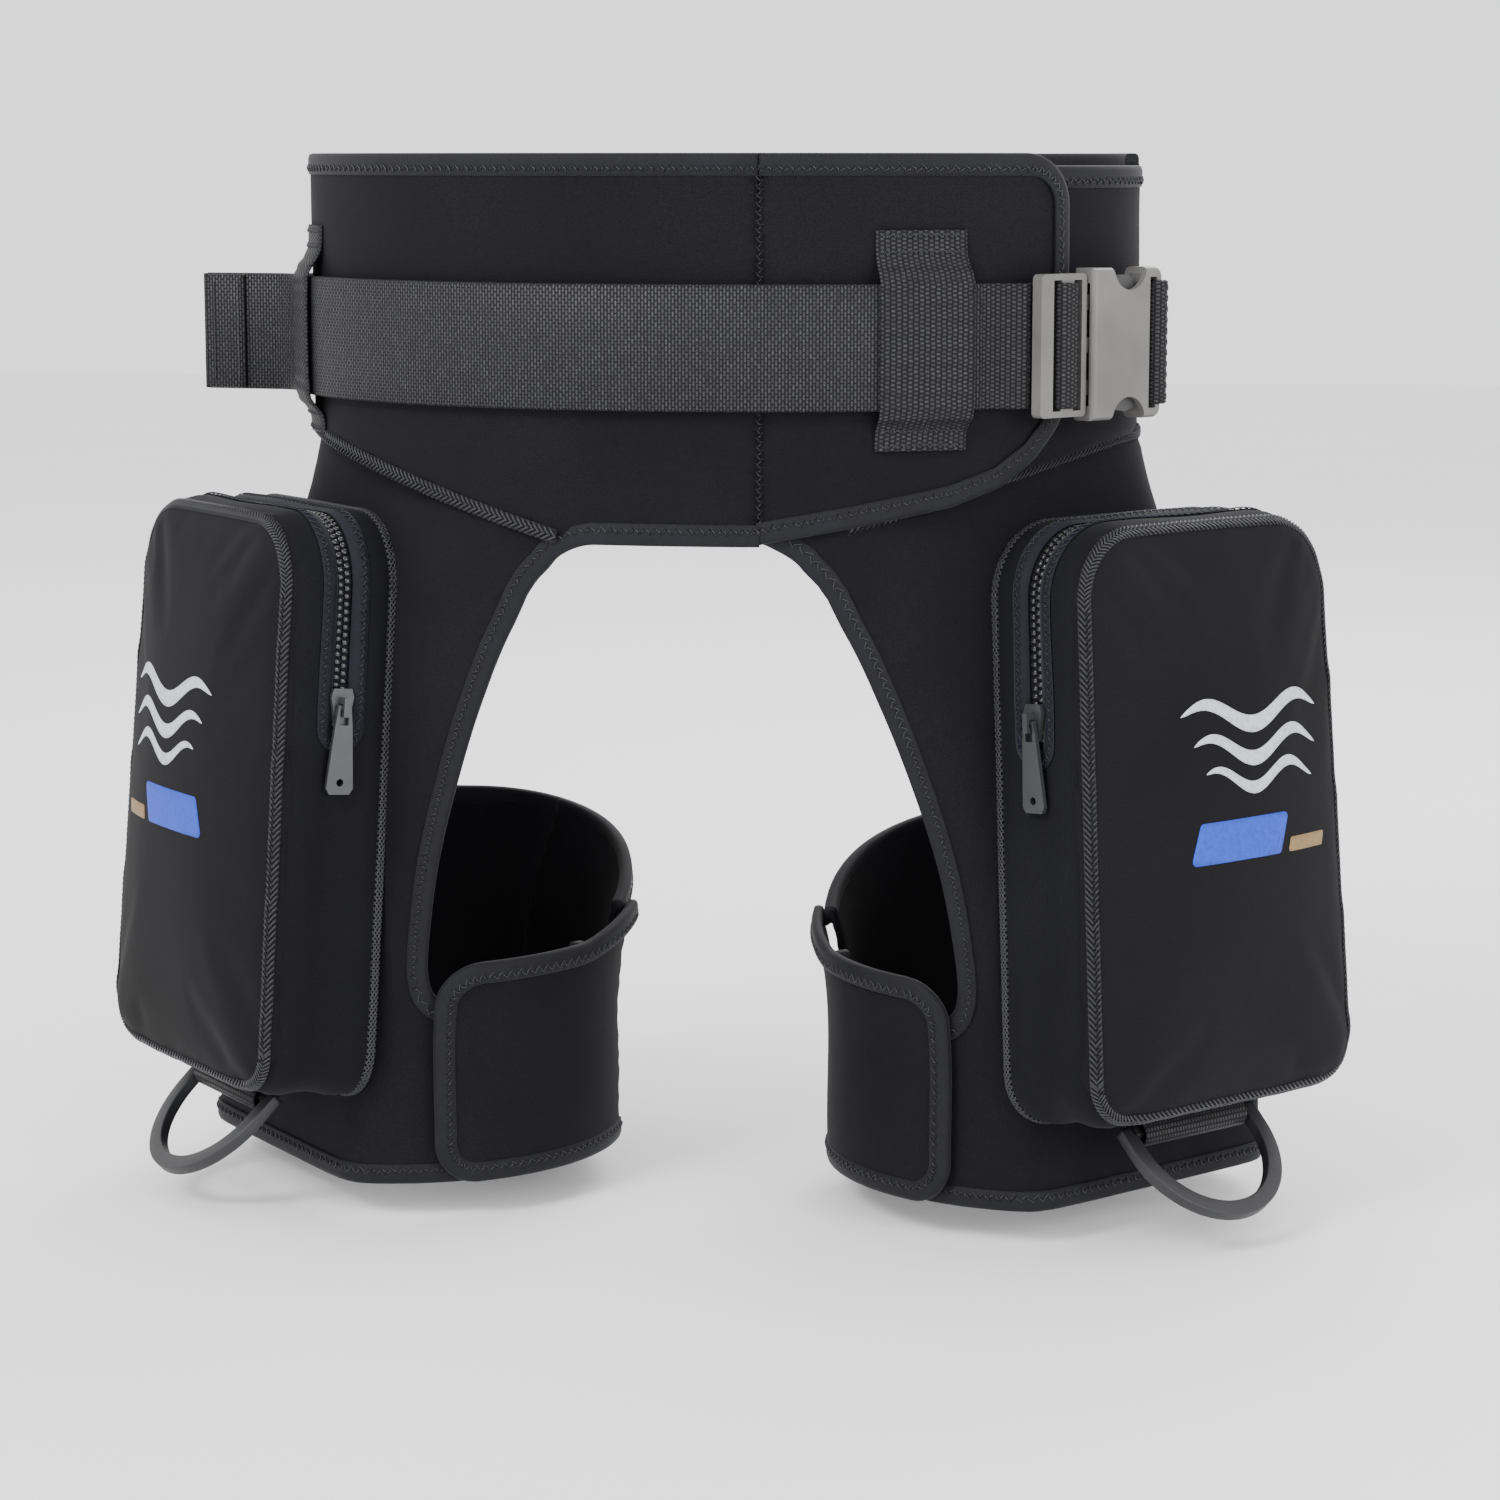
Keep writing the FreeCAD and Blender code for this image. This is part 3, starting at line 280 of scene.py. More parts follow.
# Both thread colours are lighter than the dark thread itself: the raise is a painted highlight for the light the
# stitches catch.
SEAM_THREAD = thread("seam_thread_painted_highlight", (0.0190, 0.0190, 0.0240))
NAVY_THREAD = thread("navy_thread_painted_highlight", (0.0130, 0.0140, 0.0230))
BUCKLE = moulded("buckle_acetal", (0.105, 0.103, 0.098), 0.30, 0.46)
DARK_PART = moulded("buckle_inner_acetal", (0.030, 0.030, 0.032), 0.36, 0.5)
RING = moulded("d_ring_nylon", (0.012, 0.012, 0.014), 0.40, 0.58)
TEETH = moulded("zip_teeth_plastic", (0.010, 0.010, 0.012), 0.16, 0.3, specular=0.6)
ZINC = moulded("zip_painted_zinc", (0.036, 0.037, 0.041), 0.26, 0.42, metallic=0.35, specular=0.6, coat=0.3)
HOOKS = pile("hook_tape", (0.009, 0.009, 0.010), 900.0, 1.0)
LOOPS = pile("loop_tape", (0.010, 0.010, 0.012), 520.0, 0.9)
PRINT_GREY = ink("print_grey", (0.44, 0.46, 0.50))
PRINT_BLUE = ink("print_blue", (0.012, 0.050, 0.42))
PRINT_TAN = ink("print_tan", (0.20, 0.13, 0.055))


# -------------------- mesh helpers
def piece(name, points, faces, material, uvs=None, smooth=True):
    """Object from points in millimetres; uvs are one pair per point, also in millimetres."""
    points = np.asarray(points, float)
    mesh = bpy.data.meshes.new(name)
    mesh.from_pydata((points * MM).tolist(), [], [tuple(int(i) for i in face) for face in faces])
    if uvs is not None:
        layer = mesh.uv_layers.new(name="UVMap")
        loops = np.zeros(len(mesh.loops), int)
        mesh.loops.foreach_get("vertex_index", loops)
        layer.data.foreach_set("uv", (np.asarray(uvs, float)[loops] * MM).ravel())
    mesh.materials.append(material)
    if smooth:
        mesh.shade_smooth()
    made = bpy.data.objects.new(name, mesh)
    bpy.context.scene.collection.objects.link(made)
    return made


def hold(obj, body, slot, *nodes, blend=None):
    """Put a finished piece on its body (with blend, its transform is baked in place instead) and hide the CAD nodes
    it stands for. slot is not used.
    """
    if blend:
        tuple(blend[1])
        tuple(blend[2])
        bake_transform(obj)
    else:
        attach(obj, body)
    if nodes:
        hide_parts(*nodes)


def mirrored(obj, name):
    """Copy of a piece on the other side of the belt."""
    mesh = obj.data.copy()
    mesh.name = name
    mesh.transform(Matrix.Diagonal((-1, 1, 1, 1)))
    mesh.flip_normals()
    made = bpy.data.objects.new(name, mesh)
    bpy.context.scene.collection.objects.link(made)
    return made


def pair(obj, body, slot, *nodes, blend=None):
    """Hold a right-hand piece and its mirrored left-hand twin.  Names start with the side."""
    left = mirrored(obj, obj.name.replace("right_", "left_", 1))
    for side, item in (("right", obj), ("left", left)):
        place = body.replace("SIDE", side)
        stands_for = [f"{side}_{node}" for node in nodes]
        if blend:
            flip = 1 if side == "right" else -1
            ends = [(flip * point[0] * MM, point[1] * MM, point[2] * MM) for point in blend[1:]]
            hold(item, "wrap", slot, *stands_for, blend=(blend[0].replace("SIDE", side), *ends))
        else:
            hold(item, place, slot, *stands_for)
    return obj, left


def unit(vectors):
    return vectors / np.maximum(np.linalg.norm(vectors, axis=-1, keepdims=True), 1e-9)


def dense(corners, step, closed=False):
    """The outline with points no further apart than step."""
    corners = [np.array(c, float) for c in corners]
    if closed:
        corners = corners + [corners[0]]
    made = []
    for first, second in zip(corners, corners[1:]):
        count = max(1, int(math.ceil(np.linalg.norm(second - first) / step)))
        made += [first + (second - first) * i / count for i in range(count)]
    if not closed:
        made.append(corners[-1])
    return np.array(made)


def rounded(corners, radii, step=2.0):
    """Closed outline whose corners are arcs; radii has one value per corner."""
    made = []
    count = len(corners)
    for index in range(count):
        corner = np.array(corners[index], float)
        before = unit(np.array(corners[index - 1], float) - corner)
        after = unit(np.array(corners[(index + 1) % count], float) - corner)
        radius = radii[index]
        if radius <= 0:
            made.append(corner)
            continue
        half = math.acos(float(np.clip(before @ after, -1, 1))) / 2
        reach = radius / math.tan(half)
        centre = corner + unit(before + after) * radius / math.sin(half)
        start = corner + before * reach - centre
        end = corner + after * reach - centre
        turn = math.atan2(start[0] * end[1] - start[1] * end[0], start @ end)
        steps = max(3, int(abs(turn) * radius / step))
        base = math.atan2(start[1], start[0])
        for i in range(steps + 1):
            angle = base + turn * i / steps
            made.append(centre + radius * np.array([math.cos(angle), math.sin(angle)]))
    return made


def inside(points, outline):
    """Which points lie inside a closed outline (even-odd rule)."""
    x, y = points[:, 0], points[:, 1]
    result = np.zeros(len(points), bool)
    for (x0, y0), (x1, y1) in zip(outline, np.roll(outline, -1, axis=0)):
        crosses = (y0 > y) != (y1 > y)
        if crosses.any() and y1 != y0:
            result ^= crosses & (x < (x1 - x0) * (y - y0) / (y1 - y0) + x0)
    return result


def cut_cloth(outline, spacing, holes=()):
    """Flat triangles that fill an outline: (points, triangles)."""
    rings = [dense(outline, spacing, True)] + [dense(hole, spacing, True) for hole in holes]
    border = np.concatenate(rings)
    edges, start = [], 0
    for ring in rings:
        edges += [(start + i, start + (i + 1) % len(ring)) for i in range(len(ring))]
        start += len(ring)
    low, high = border.min(0), border.max(0)
    rows = np.arange(low[1] + spacing * 0.5, high[1], spacing * 0.87)
    lattice = [(x + (spacing / 2 if number % 2 else 0), y) for number, y in enumerate(rows)
               for x in np.arange(low[0], high[0], spacing)]
    lattice = np.array(lattice) if lattice else np.zeros((0, 2))
    keep = inside(lattice, rings[0])
    for ring in rings[1:]:
        keep &= ~inside(lattice, ring)
    lattice = lattice[keep]
    if len(lattice):
        clear = np.array([np.min(np.sum((border - p) ** 2, axis=1)) for p in lattice]) > (0.55 * spacing) ** 2
        lattice = lattice[clear]
    flat = np.concatenate([border, lattice]) if len(lattice) else border
    points, _, triangles, *_ = delaunay_2d_cdt([Vector(p) for p in flat], edges, [], 0, 1e-5)
    points = np.array([tuple(p) for p in points])
    triangles = np.array([t for t in triangles if len(t) == 3])
    middle = points[triangles].mean(1)
    keep = inside(middle, rings[0])
    for ring in rings[1:]:
        keep &= ~inside(middle, ring)
    return points, triangles[keep]


def rim_edges(triangles):
    """Edges that belong to one triangle only, in that triangle's direction."""
    directed = np.concatenate([triangles[:, [0, 1]], triangles[:, [1, 2]], triangles[:, [2, 0]]])
    known = {(int(a), int(b)) for a, b in directed}
    return [(a, b) for a, b in known if (b, a) not in known]


def patch(name, outline, surface, low, high, material, spacing=5.0, holes=(), soften=0.3):
    """Cloth cut to an outline in (u, v) and laid on a surface, between two heights over it."""
    flat, triangles = cut_cloth(outline, spacing, holes)
    edges = rim_edges(triangles)
    on_rim = np.zeros(len(flat), bool)
    on_rim[[a for a, _ in edges] + [b for _, b in edges]] = True
    round_off = np.where(on_rim, soften * (high - low), 0.0)
    top = surface(flat[:, 0], flat[:, 1], high - round_off)
    bottom = surface(flat[:, 0], flat[:, 1], low + round_off)
    count = len(flat)
    a, b, c = (top[triangles[:, i]] for i in range(3))
    facing = np.cross(b - a, c - a)
    outward = (top - bottom)[triangles].mean(1)
    if (facing * outward).sum() < 0:
        triangles = triangles[:, ::-1]
        edges = [(b, a) for a, b in edges]
    faces = triangles.tolist() + (triangles[:, ::-1] + count).tolist()
    faces += [(b, a, a + count, b + count) for a, b in edges]
    return piece(name, np.concatenate([top, bottom]), faces, material, np.concatenate([flat, flat]))


class Line:
    """Points along a surface with the surface's normal and the sideways direction at each."""

    def __init__(self, points, normals, closed=False):
        self.points, self.normals, self.closed = points, unit(normals), closed
        if closed:
            ahead = np.roll(points, -1, 0) - np.roll(points, 1, 0)
        else:
            ahead = np.gradient(points, axis=0)
        self.ahead = unit(ahead)
        self.side = unit(np.cross(self.normals, self.ahead))
        self.normals = unit(np.cross(self.ahead, self.side))
        steps = np.linalg.norm(np.diff(points, axis=0), axis=1)
        self.along = np.concatenate([[0], np.cumsum(steps)])

    def at(self, index, across, height):
        return self.points[index] + self.side[index] * across + self.normals[index] * height


def trace(corners, surface, step, closed=False):
    """Line along an outline on a surface, with evenly spaced points."""
    flat = dense(corners, 1.0, closed)
    if closed:
        flat = np.concatenate([flat, flat[:1]])
    points = surface(flat[:, 0], flat[:, 1], np.zeros(len(flat)))
    along = np.concatenate([[0], np.cumsum(np.linalg.norm(np.diff(points, axis=0), axis=1))])
    count = max(3, int(round(along[-1] / step)))
    wanted = np.linspace(0, along[-1], count + 1)
    if closed:
        wanted = wanted[:-1]
    even = np.stack([np.interp(wanted, along, flat[:, i]) for i in range(2)], 1)
    at = surface(even[:, 0], even[:, 1], np.zeros(len(even)))
    above = surface(even[:, 0], even[:, 1], np.ones(len(even)))
    return Line(at, above - at, closed)


def across_mirror(line):
    """The same line on the other side of the belt."""
    flip = np.array([-1.0, 1.0, 1.0])
    return Line(line.points * flip, line.normals * flip, line.closed)


def joined(lines, step, passes=14, reach=7):
    """One evenly stepped line through several, rounded off where they meet."""
    points = np.concatenate([line.points for line in lines])
    normals = np.concatenate([line.normals for line in lines])
    meets = np.cumsum([len(line.points) for line in lines])[:-1]
    for _ in range(passes):
        for meet in meets:
            low, high = max(1, meet - reach), min(len(points) - 1, meet + reach)
            for values in (points, normals):
                near = values[low - 1:high - 1] + 2 * values[low:high] + values[low + 1:high + 1]
                values[low:high] = near / 4
    along = np.concatenate([[0], np.cumsum(np.linalg.norm(np.diff(points, axis=0), axis=1))])
    wanted = np.linspace(0, along[-1], int(along[-1] / step) + 1)
    return Line(*(np.stack([np.interp(wanted, along, values[:, i]) for i in range(3)], 1)
                  for values in (points, normals)))


def slab(name, top, bottom, material, uvs):
    """Closed sheet between two grids of points, each rows by columns."""
    rows, columns = top.shape[:2]
    index = np.arange(rows * columns).reshape(rows, columns)
    under = index + rows * columns
    faces = []
    for i in range(rows - 1):
        for j in range(columns - 1):
            faces.append((index[i, j], index[i + 1, j], index[i + 1, j + 1], index[i, j + 1]))
            faces.append((under[i, j], under[i, j + 1], under[i + 1, j + 1], under[i + 1, j]))
    rim = ([(i, 0) for i in range(rows)] + [(rows - 1, j) for j in range(1, columns)]
           + [(i, columns - 1) for i in range(rows - 2, -1, -1)]
           + [(0, j) for j in range(columns - 2, 0, -1)])
    for first, second in zip(rim, rim[1:] + rim[:1]):
        faces.append((index[second], index[first], under[first], under[second]))
    a, b, c = top[0, 0], top[1, 0], top[1, 1]
    if np.cross(b - a, c - a) @ (top[0, 0] - bottom[0, 0]) < 0:
        faces = [tuple(reversed(face)) for face in faces]
    points = np.concatenate([top.reshape(-1, 3), bottom.reshape(-1, 3)])
    return piece(name, points, faces, material, np.concatenate([uvs.reshape(-1, 2)] * 2))


def sweep(name, line, section, material):
    """Closed section of (across, height) pairs carried along a line."""
    section = np.array(section, float)
    size, count = len(section), len(line.points)
    points = np.concatenate([line.points[i] + np.outer(section[:, 0], line.side[i])
                             + np.outer(section[:, 1], line.normals[i]) for i in range(count)])
    girth = np.concatenate([[0], np.cumsum(np.linalg.norm(np.diff(section, axis=0), axis=1))])
    uvs = np.concatenate([np.stack([np.full(size, line.along[i]), girth], 1) for i in range(count)])
    faces = []
    for i in range(count if line.closed else count - 1):
        following = (i + 1) % count
        for j in range(size):
            k = (j + 1) % size
            faces.append((i * size + j, following * size + j, following * size + k, i * size + k))
    if not line.closed:
        faces.append(tuple(range(size)))
        faces.append(tuple(reversed(range((count - 1) * size, count * size))))
    area = sum(section[j - 1][0] * section[j][1] - section[j][0] * section[j - 1][1] for j in range(size))
    if area > 0:
        faces = [tuple(reversed(face)) for face in faces]
    return piece(name, points, faces, material, uvs)


def threads(name, paths, radius, material, sides=5):
    """Many short thread runs as round tubes in one mesh."""
    angles = np.arange(sides) * 2 * math.pi / sides
    points, faces, start = [], [], 0
    for path in paths:
        path = np.asarray(path, float)
        ahead = unit(np.gradient(path, axis=0))
        helper = np.where(np.abs(ahead[:, 2:3]) > 0.8, np.array([[1.0, 0, 0]]), np.array([[0, 0, 1.0]]))
        first = unit(np.cross(ahead, helper))
        second = np.cross(ahead, first)
        ring = (first[:, None] * np.cos(angles)[None, :, None]
                + second[:, None] * np.sin(angles)[None, :, None])
        points.append((path[:, None] + ring * radius).reshape(-1, 3))
        count = len(path)
        for i in range(count - 1):
            for j in range(sides):
                k = (j + 1) % sides
                faces.append((start + i * sides + j, start + i * sides + k,
                              start + (i + 1) * sides + k, start + (i + 1) * sides + j))
        faces.append(tuple(start + j for j in reversed(range(sides))))
        faces.append(tuple(start + (count - 1) * sides + j for j in range(sides)))
        start += count * sides
    return piece(name, np.concatenate(points), faces, material)


def zigzag(line, low, high, height, arch=0.4):
    """Zig-zag stitch between two distances across a line: one thread path."""
    path = []
    for index in range(len(line.points)):
        here, there = (low, high) if index % 2 else (high, low)
        path.append(line.at(index, here, height - 0.1))
        if index + 1 < len(line.points):
            path.append(line.at(index, (here + there) / 2, height + arch))
    return path


def braid(line, half, height, reach=3, every=2):
    """Rope-like flatlock seam: short threads from both sides that meet over the middle."""
    paths = []
    count = len(line.points)
    for index in range(0, count if line.closed else count - reach, every):
        middle, end = (index + reach // 2) % count, (index + reach) % count
        for side in (-1, 1):
            paths.append([line.at(index, side * half, height - 0.25),
                          line.at(middle, side * half * 0.6, height + 0.4),
                          line.at(end, -side * half * 0.1, height + 0.55)])
    return paths


def tape_section(inner, width=BIND_W, thick=BIND_T, wide=1.0):
    """Binding over an edge: across runs outward past the edge, height 0 is the cloth's outer face."""
    return [(-width, 0.02), (-width + 0.4, thick * 0.85), (-width * 0.5, thick), (-1.2, thick),
            (wide * 0.5, thick * 0.4), (wide, -1.0), (wide, -inner + 1.0), (wide * 0.5, -inner - thick * 0.4), (-1.2, -inner - thick),
            (-width * 0.5, -inner - thick), (-width + 0.4, -inner - thick * 0.85), (-width, -inner - 0.02),
            (-width + 1.5, -inner * 0.5)]


def bind_stitches(name, line, outward):
    """Zig-zag stitching along a binding's inner edge."""
    path = zigzag(line, -outward * 6.6, -outward * 3.6, BIND_T + 0.05)
    return threads(name, [path], 0.27, SEAM_THREAD, 4)


def bind(name, line, *nodes, inner=NEOPRENE, outward=1, twin=False):
    """Bound edge with its zig-zag stitching.  outward is the sign of the line's side that faces off the cloth."""
    section = [(outward * across, height) for across, height in tape_section(inner)]
    cover = sweep(name, line, section, TAPE)
    stitched = bind_stitches(name + "_stitches", line, outward)
    place = pair if twin else hold
    place(cover, "wrap", "stretch_binding", *nodes)
    place(stitched, "wrap", "stretch_binding")


def seam(name, line, slot="neoprene", twin=False, half=2.8, height=0.35):
    """Flatlock seam: a low bead under a braid of threads."""
    bead = [(-half, -0.1), (-half * 0.6, height * 0.9), (0, height + 0.25), (half * 0.6, height * 0.9),
            (half, -0.1)]
    cord = sweep(name + "_bead", line, bead, SEAM_BED)
    over = threads(name + "_threads", braid(line, half, height), 0.42, SEAM_THREAD, 4)
    for made in (cord, over):
        (pair if twin else hold)(made, "wrap", slot)


# -------------------- surfaces
def smoothstep(value):
    value = np.clip(value, 0, 1)
    return value * value * (3 - 2 * value)


def flap_lift(angle):
    return 6.6 * smoothstep((angle + 70) / 60)


def ripple(u, v, size, seed):
    """Slow, low undulation of soft cloth, in millimetres."""
    return size * (np.sin(u * 0.031 + seed) * np.sin(v * 0.043 + seed * 1.7)
                   + 0.6 * np.sin(u * 0.067 + v * 0.029 + seed * 2.3))


DEG = 2.63  # mean millimetres per degree round the waist
LEG_DEG = 1.6  # and round a leg


def waist_at(lifted, seed=0.0, size=0.45):
    """Surface of the wrap: u is millimetres round from the front, v is the height."""
    def surface(u, v, offset):
        angle = np.asarray(u, float) / DEG
        turn = np.radians(angle)
        rise = flap_lift(angle) if lifted else 0.0
        fade = np.clip((np.abs(np.asarray(v, float)) - 30) / 20, 0, 1)
        out = offset + rise + ripple(u, v, size, seed) * fade
        return np.stack([(WAIST_A + out) * np.sin(turn), -(WAIST_B + out) * np.cos(turn),
                         np.broadcast_to(np.asarray(v, float), turn.shape)], -1)
    return surface


# Each cloth of the wrap has its own ripple; webbing and hook-and-loop lie on the smooth ones.
LEFT_CLOTH, FLAP_CLOTH = waist_at(True, 0.4), waist_at(True, 2.0)
UNDER_CLOTH, BACK_CLOTH = waist_at(False, 3.1, 0.3), waist_at(False, 5.2)
SMOOTH_LIFTED, SMOOTH_WRAP = waist_at(True, 0, 0), waist_at(False, 0, 0)


def seam_height(x):
    return np.interp(x, [p[0] for p in SEAM_LINE], [p[1] for p in SEAM_LINE])


def lower_edge(start, end, lifted=False, profile=SEAM_LINE, step=4.0):
    """Points (u, height) of the wrap's lower edge between two angles."""
    count = max(2, int(abs(end - start) / step))
    made = []
    for angle in np.linspace(start, end, count + 1):
        x = (WAIST_A + (flap_lift(angle) if lifted else 0.0)) * math.sin(math.radians(angle))
        made.append((angle * DEG, float(np.interp(x, [p[0] for p in profile], [p[1] for p in profile]))))
    return made


def leg_section(height):
    """Centre, half width and half depth of the leg at a height."""
    levels = [s[0] for s in LEG_SECTIONS][::-1]
    smooth = []
    for column in (1, 2, 3):
        values = [s[column] for s in LEG_SECTIONS][::-1]
        smooth.append(cubic(height, levels, values))
    return smooth


def cubic(at, knots, values):
    """Monotone-friendly cubic through knots (finite-difference slopes)."""
    knots, values = np.array(knots, float), np.array(values, float)
    slopes = np.gradient(values, knots)
    at = np.clip(np.asarray(at, float), knots[0], knots[-1])
    cell = np.clip(np.searchsorted(knots, at) - 1, 0, len(knots) - 2)
    width = knots[cell + 1] - knots[cell]
    t = (at - knots[cell]) / width
    return (values[cell] * (1 + 2 * t) * (1 - t) ** 2 + slopes[cell] * width * t * (1 - t) ** 2
            + values[cell + 1] * t * t * (3 - 2 * t) + slopes[cell + 1] * width * t * t * (t - 1))


OUT = np.array([math.sin(YAW), -math.cos(YAW), 0.0])
ACROSS = np.array([math.cos(YAW), math.sin(YAW), 0.0])
UP = np.array([0, 0, 1.0]) * math.cos(LEAN) - OUT * math.sin(LEAN)
NORMAL = OUT * math.cos(LEAN) + np.array([0, 0, 1.0]) * math.sin(LEAN)
POCKET = np.array([RING_X, 0.0, -200.0]) + OUT * 47.0


def local(x, y, n):
    """Point given in the right pocket's frame."""
    x, y, n = (np.asarray(value, float) for value in (x, y, n))
    return (POCKET + np.multiply.outer(x, ACROSS) + np.multiply.outer(y, UP)
            + np.multiply.outer(n, NORMAL))


def leg_at(seed=0.0, size=0.5):
    """Right leg's surface: u is millimetres round from the front (outward positive), v is the height."""
    def surface(u, v, offset):
        v = np.asarray(v, float)
        turn = np.radians(np.asarray(u, float) / LEG_DEG)
        centre, half_width, half_depth = leg_section(v)
        out = offset + ripple(u, v, size, seed)
        reach = np.stack([(half_width + out) * np.sin(turn), -(half_depth + out) * np.cos(turn),
                          np.zeros_like(turn)], -1)
        start = np.stack([centre + 0 * turn, 0 * turn, v + 0 * turn], -1)
        toward = reach @ NORMAL
        room = (POCKET - start) @ NORMAL + offset
        share = room / np.maximum(toward, 1e-6)
        blunt = 0.045
        smallest = -blunt * np.log(np.exp(-1.0 / blunt) + np.exp(-np.clip(share, 0, 3) / blunt))
        soft = np.where(toward > 1e-3, smallest, 1)
        return start + reach * np.clip(soft, 0.2, 1.02)[:, None]
    return surface


LEG = leg_at(1.3)


def arch_x(height):
    return float(cubic(height, [p[0] for p in ARCH][::-1], [p[1] for p in ARCH][::-1]))


def leg_x(angle, height):
    point = LEG(np.array([angle * LEG_DEG]), np.array([height]), np.zeros(1))[0]
    return point[0], point[1]


def solve(function, low, high):
    """Root of a function between low and high by halving."""
    rising = function(high) > function(low)
    for _ in range(40):
        middle = (low + high) / 2
        if (function(middle) > 0) == rising:
            high = middle
        else:
            low = middle
    return (low + high) / 2


def arch_angle(height, front):
    """Angle at which the leg's surface meets the arch's edge, at the front or the back."""
    def gap(angle):
        x, y = leg_x(angle, height)
        return x - (arch_x(height) + ARCH_SPREAD * (y - ARCH_FRONT))
    return solve(gap, -60, 60) if front else solve(gap, 120, 235)


def ring_top(angle):
    """Height of the leg band's slanting top at an angle."""
    slope = (RING_TOP_BACK - RING_TOP_FRONT) / 180
    y = -RING_B * math.cos(math.radians(angle))
    return RING_TOP_FRONT + slope * (y + 90)


def seam_top(angle):
    """Height of the leg's sewn top edge at an angle."""
    height = -60.0
    for _ in range(12):
        height = float(seam_height(leg_x(angle, height)[0])) - 0.3
    return height


def bend(points, index, radius_steps=3):
    """Round off one corner of a dense point list by averaging its neighbours."""
    made = [np.array(p, float) for p in points]
    for _ in range(radius_steps * 3):
        copy = [p.copy() for p in made]
        for i in range(max(1, index - radius_steps), min(len(made) - 1, index + radius_steps + 1)):
            made[i] = (copy[i - 1] + copy[i] * 2 + copy[i + 1]) / 4
    return made


# -------------------- waist wrap
def wrap_panels():
    """The wrap's four cloths, each given with the flat size it was cut to."""
    def upright(start, end, top, lifted=False):
        return [(start * DEG, top)] + lower_edge(start, end, lifted) + [(end * DEG, top)]

    panels = (("left_wrap_panel", "waist_left_panel", upright(BACK_LEFT, BUTT_SEAM, WAIST_TOP, True),
               LEFT_CLOTH, 5, (0.30, 0.155), []),
              ("wrap_flap", "waist_flap", flap_outline(), FLAP_CLOTH, 4.5, (0.120, 0.155), []),
              ("wrap_under_panel", "waist_under_panel", upright(UNDER_START, BACK_RIGHT, UNDER_TOP),
               UNDER_CLOTH, 5, (0.245, 0.150), []),
              ("wrap_back_panel", "waist_back_panel", upright(BACK_RIGHT, BACK_END, WAIST_TOP),
               BACK_CLOTH, 5, (0.40, 0.155), ["webbing_back_strand"]))
    for name, node, outline, surface, spacing, flat, rests_on in panels:
        made = patch(name, outline, surface, -NEOPRENE, 0, NEO, spacing)
        hold(made, "wrap", "neoprene", node)
        sheet_of(made, *flat, "stretched", rests_on)


def flap_outline():
    """Flap from the butt seam to its end, with the round corners of the free end."""
    edge = lower_edge(BUTT_SEAM, FLAP_END, True, FLAP_EDGE, 1.0)
    outline = [(BUTT_SEAM * DEG, WAIST_TOP)] + edge + [(FLAP_END * DEG, WAIST_TOP)]
    return rounded(outline, [0] * len(edge) + [6, 20])


def sheet_of(obj, width, length, held, rests_on=()):
    """Does nothing: obj, the rectangle it was cut from (width, length), held and rests_on are not used."""
    list(rests_on)


def wrap_bindings():
    """Tape round the flap, along the three top edges and along the middle of the back's hem."""
    def top(start, end, height=WAIST_TOP):
        return [(start * DEG, height), (end * DEG, height)]

    flap = flap_outline()[1:] + [np.array((BUTT_SEAM * DEG, WAIST_TOP))]
    runs = (("flap_binding", flap, FLAP_CLOTH, NEOPRENE, ("flap_end_binding", "flap_hem_binding")),
            ("left_top_binding", top(BUTT_SEAM, BACK_LEFT), LEFT_CLOTH, NEOPRENE, ("flap_top_binding",)),
            ("back_top_binding_tape", top(BACK_END, BACK_RIGHT), BACK_CLOTH, NEOPRENE, ("back_top_binding",)),
            ("under_top_binding", top(BACK_RIGHT, UNDER_START, UNDER_TOP), UNDER_CLOTH, NEOPRENE - 0.4, ()),
            ("back_hem_binding", lower_edge(166, 194, step=2.0), BACK_CLOTH, NEOPRENE, ()))
    for name, path, surface, inner, nodes in runs:
        bind(name, trace(path, surface, BIND_STEP), *nodes, inner=inner, outward=-1)


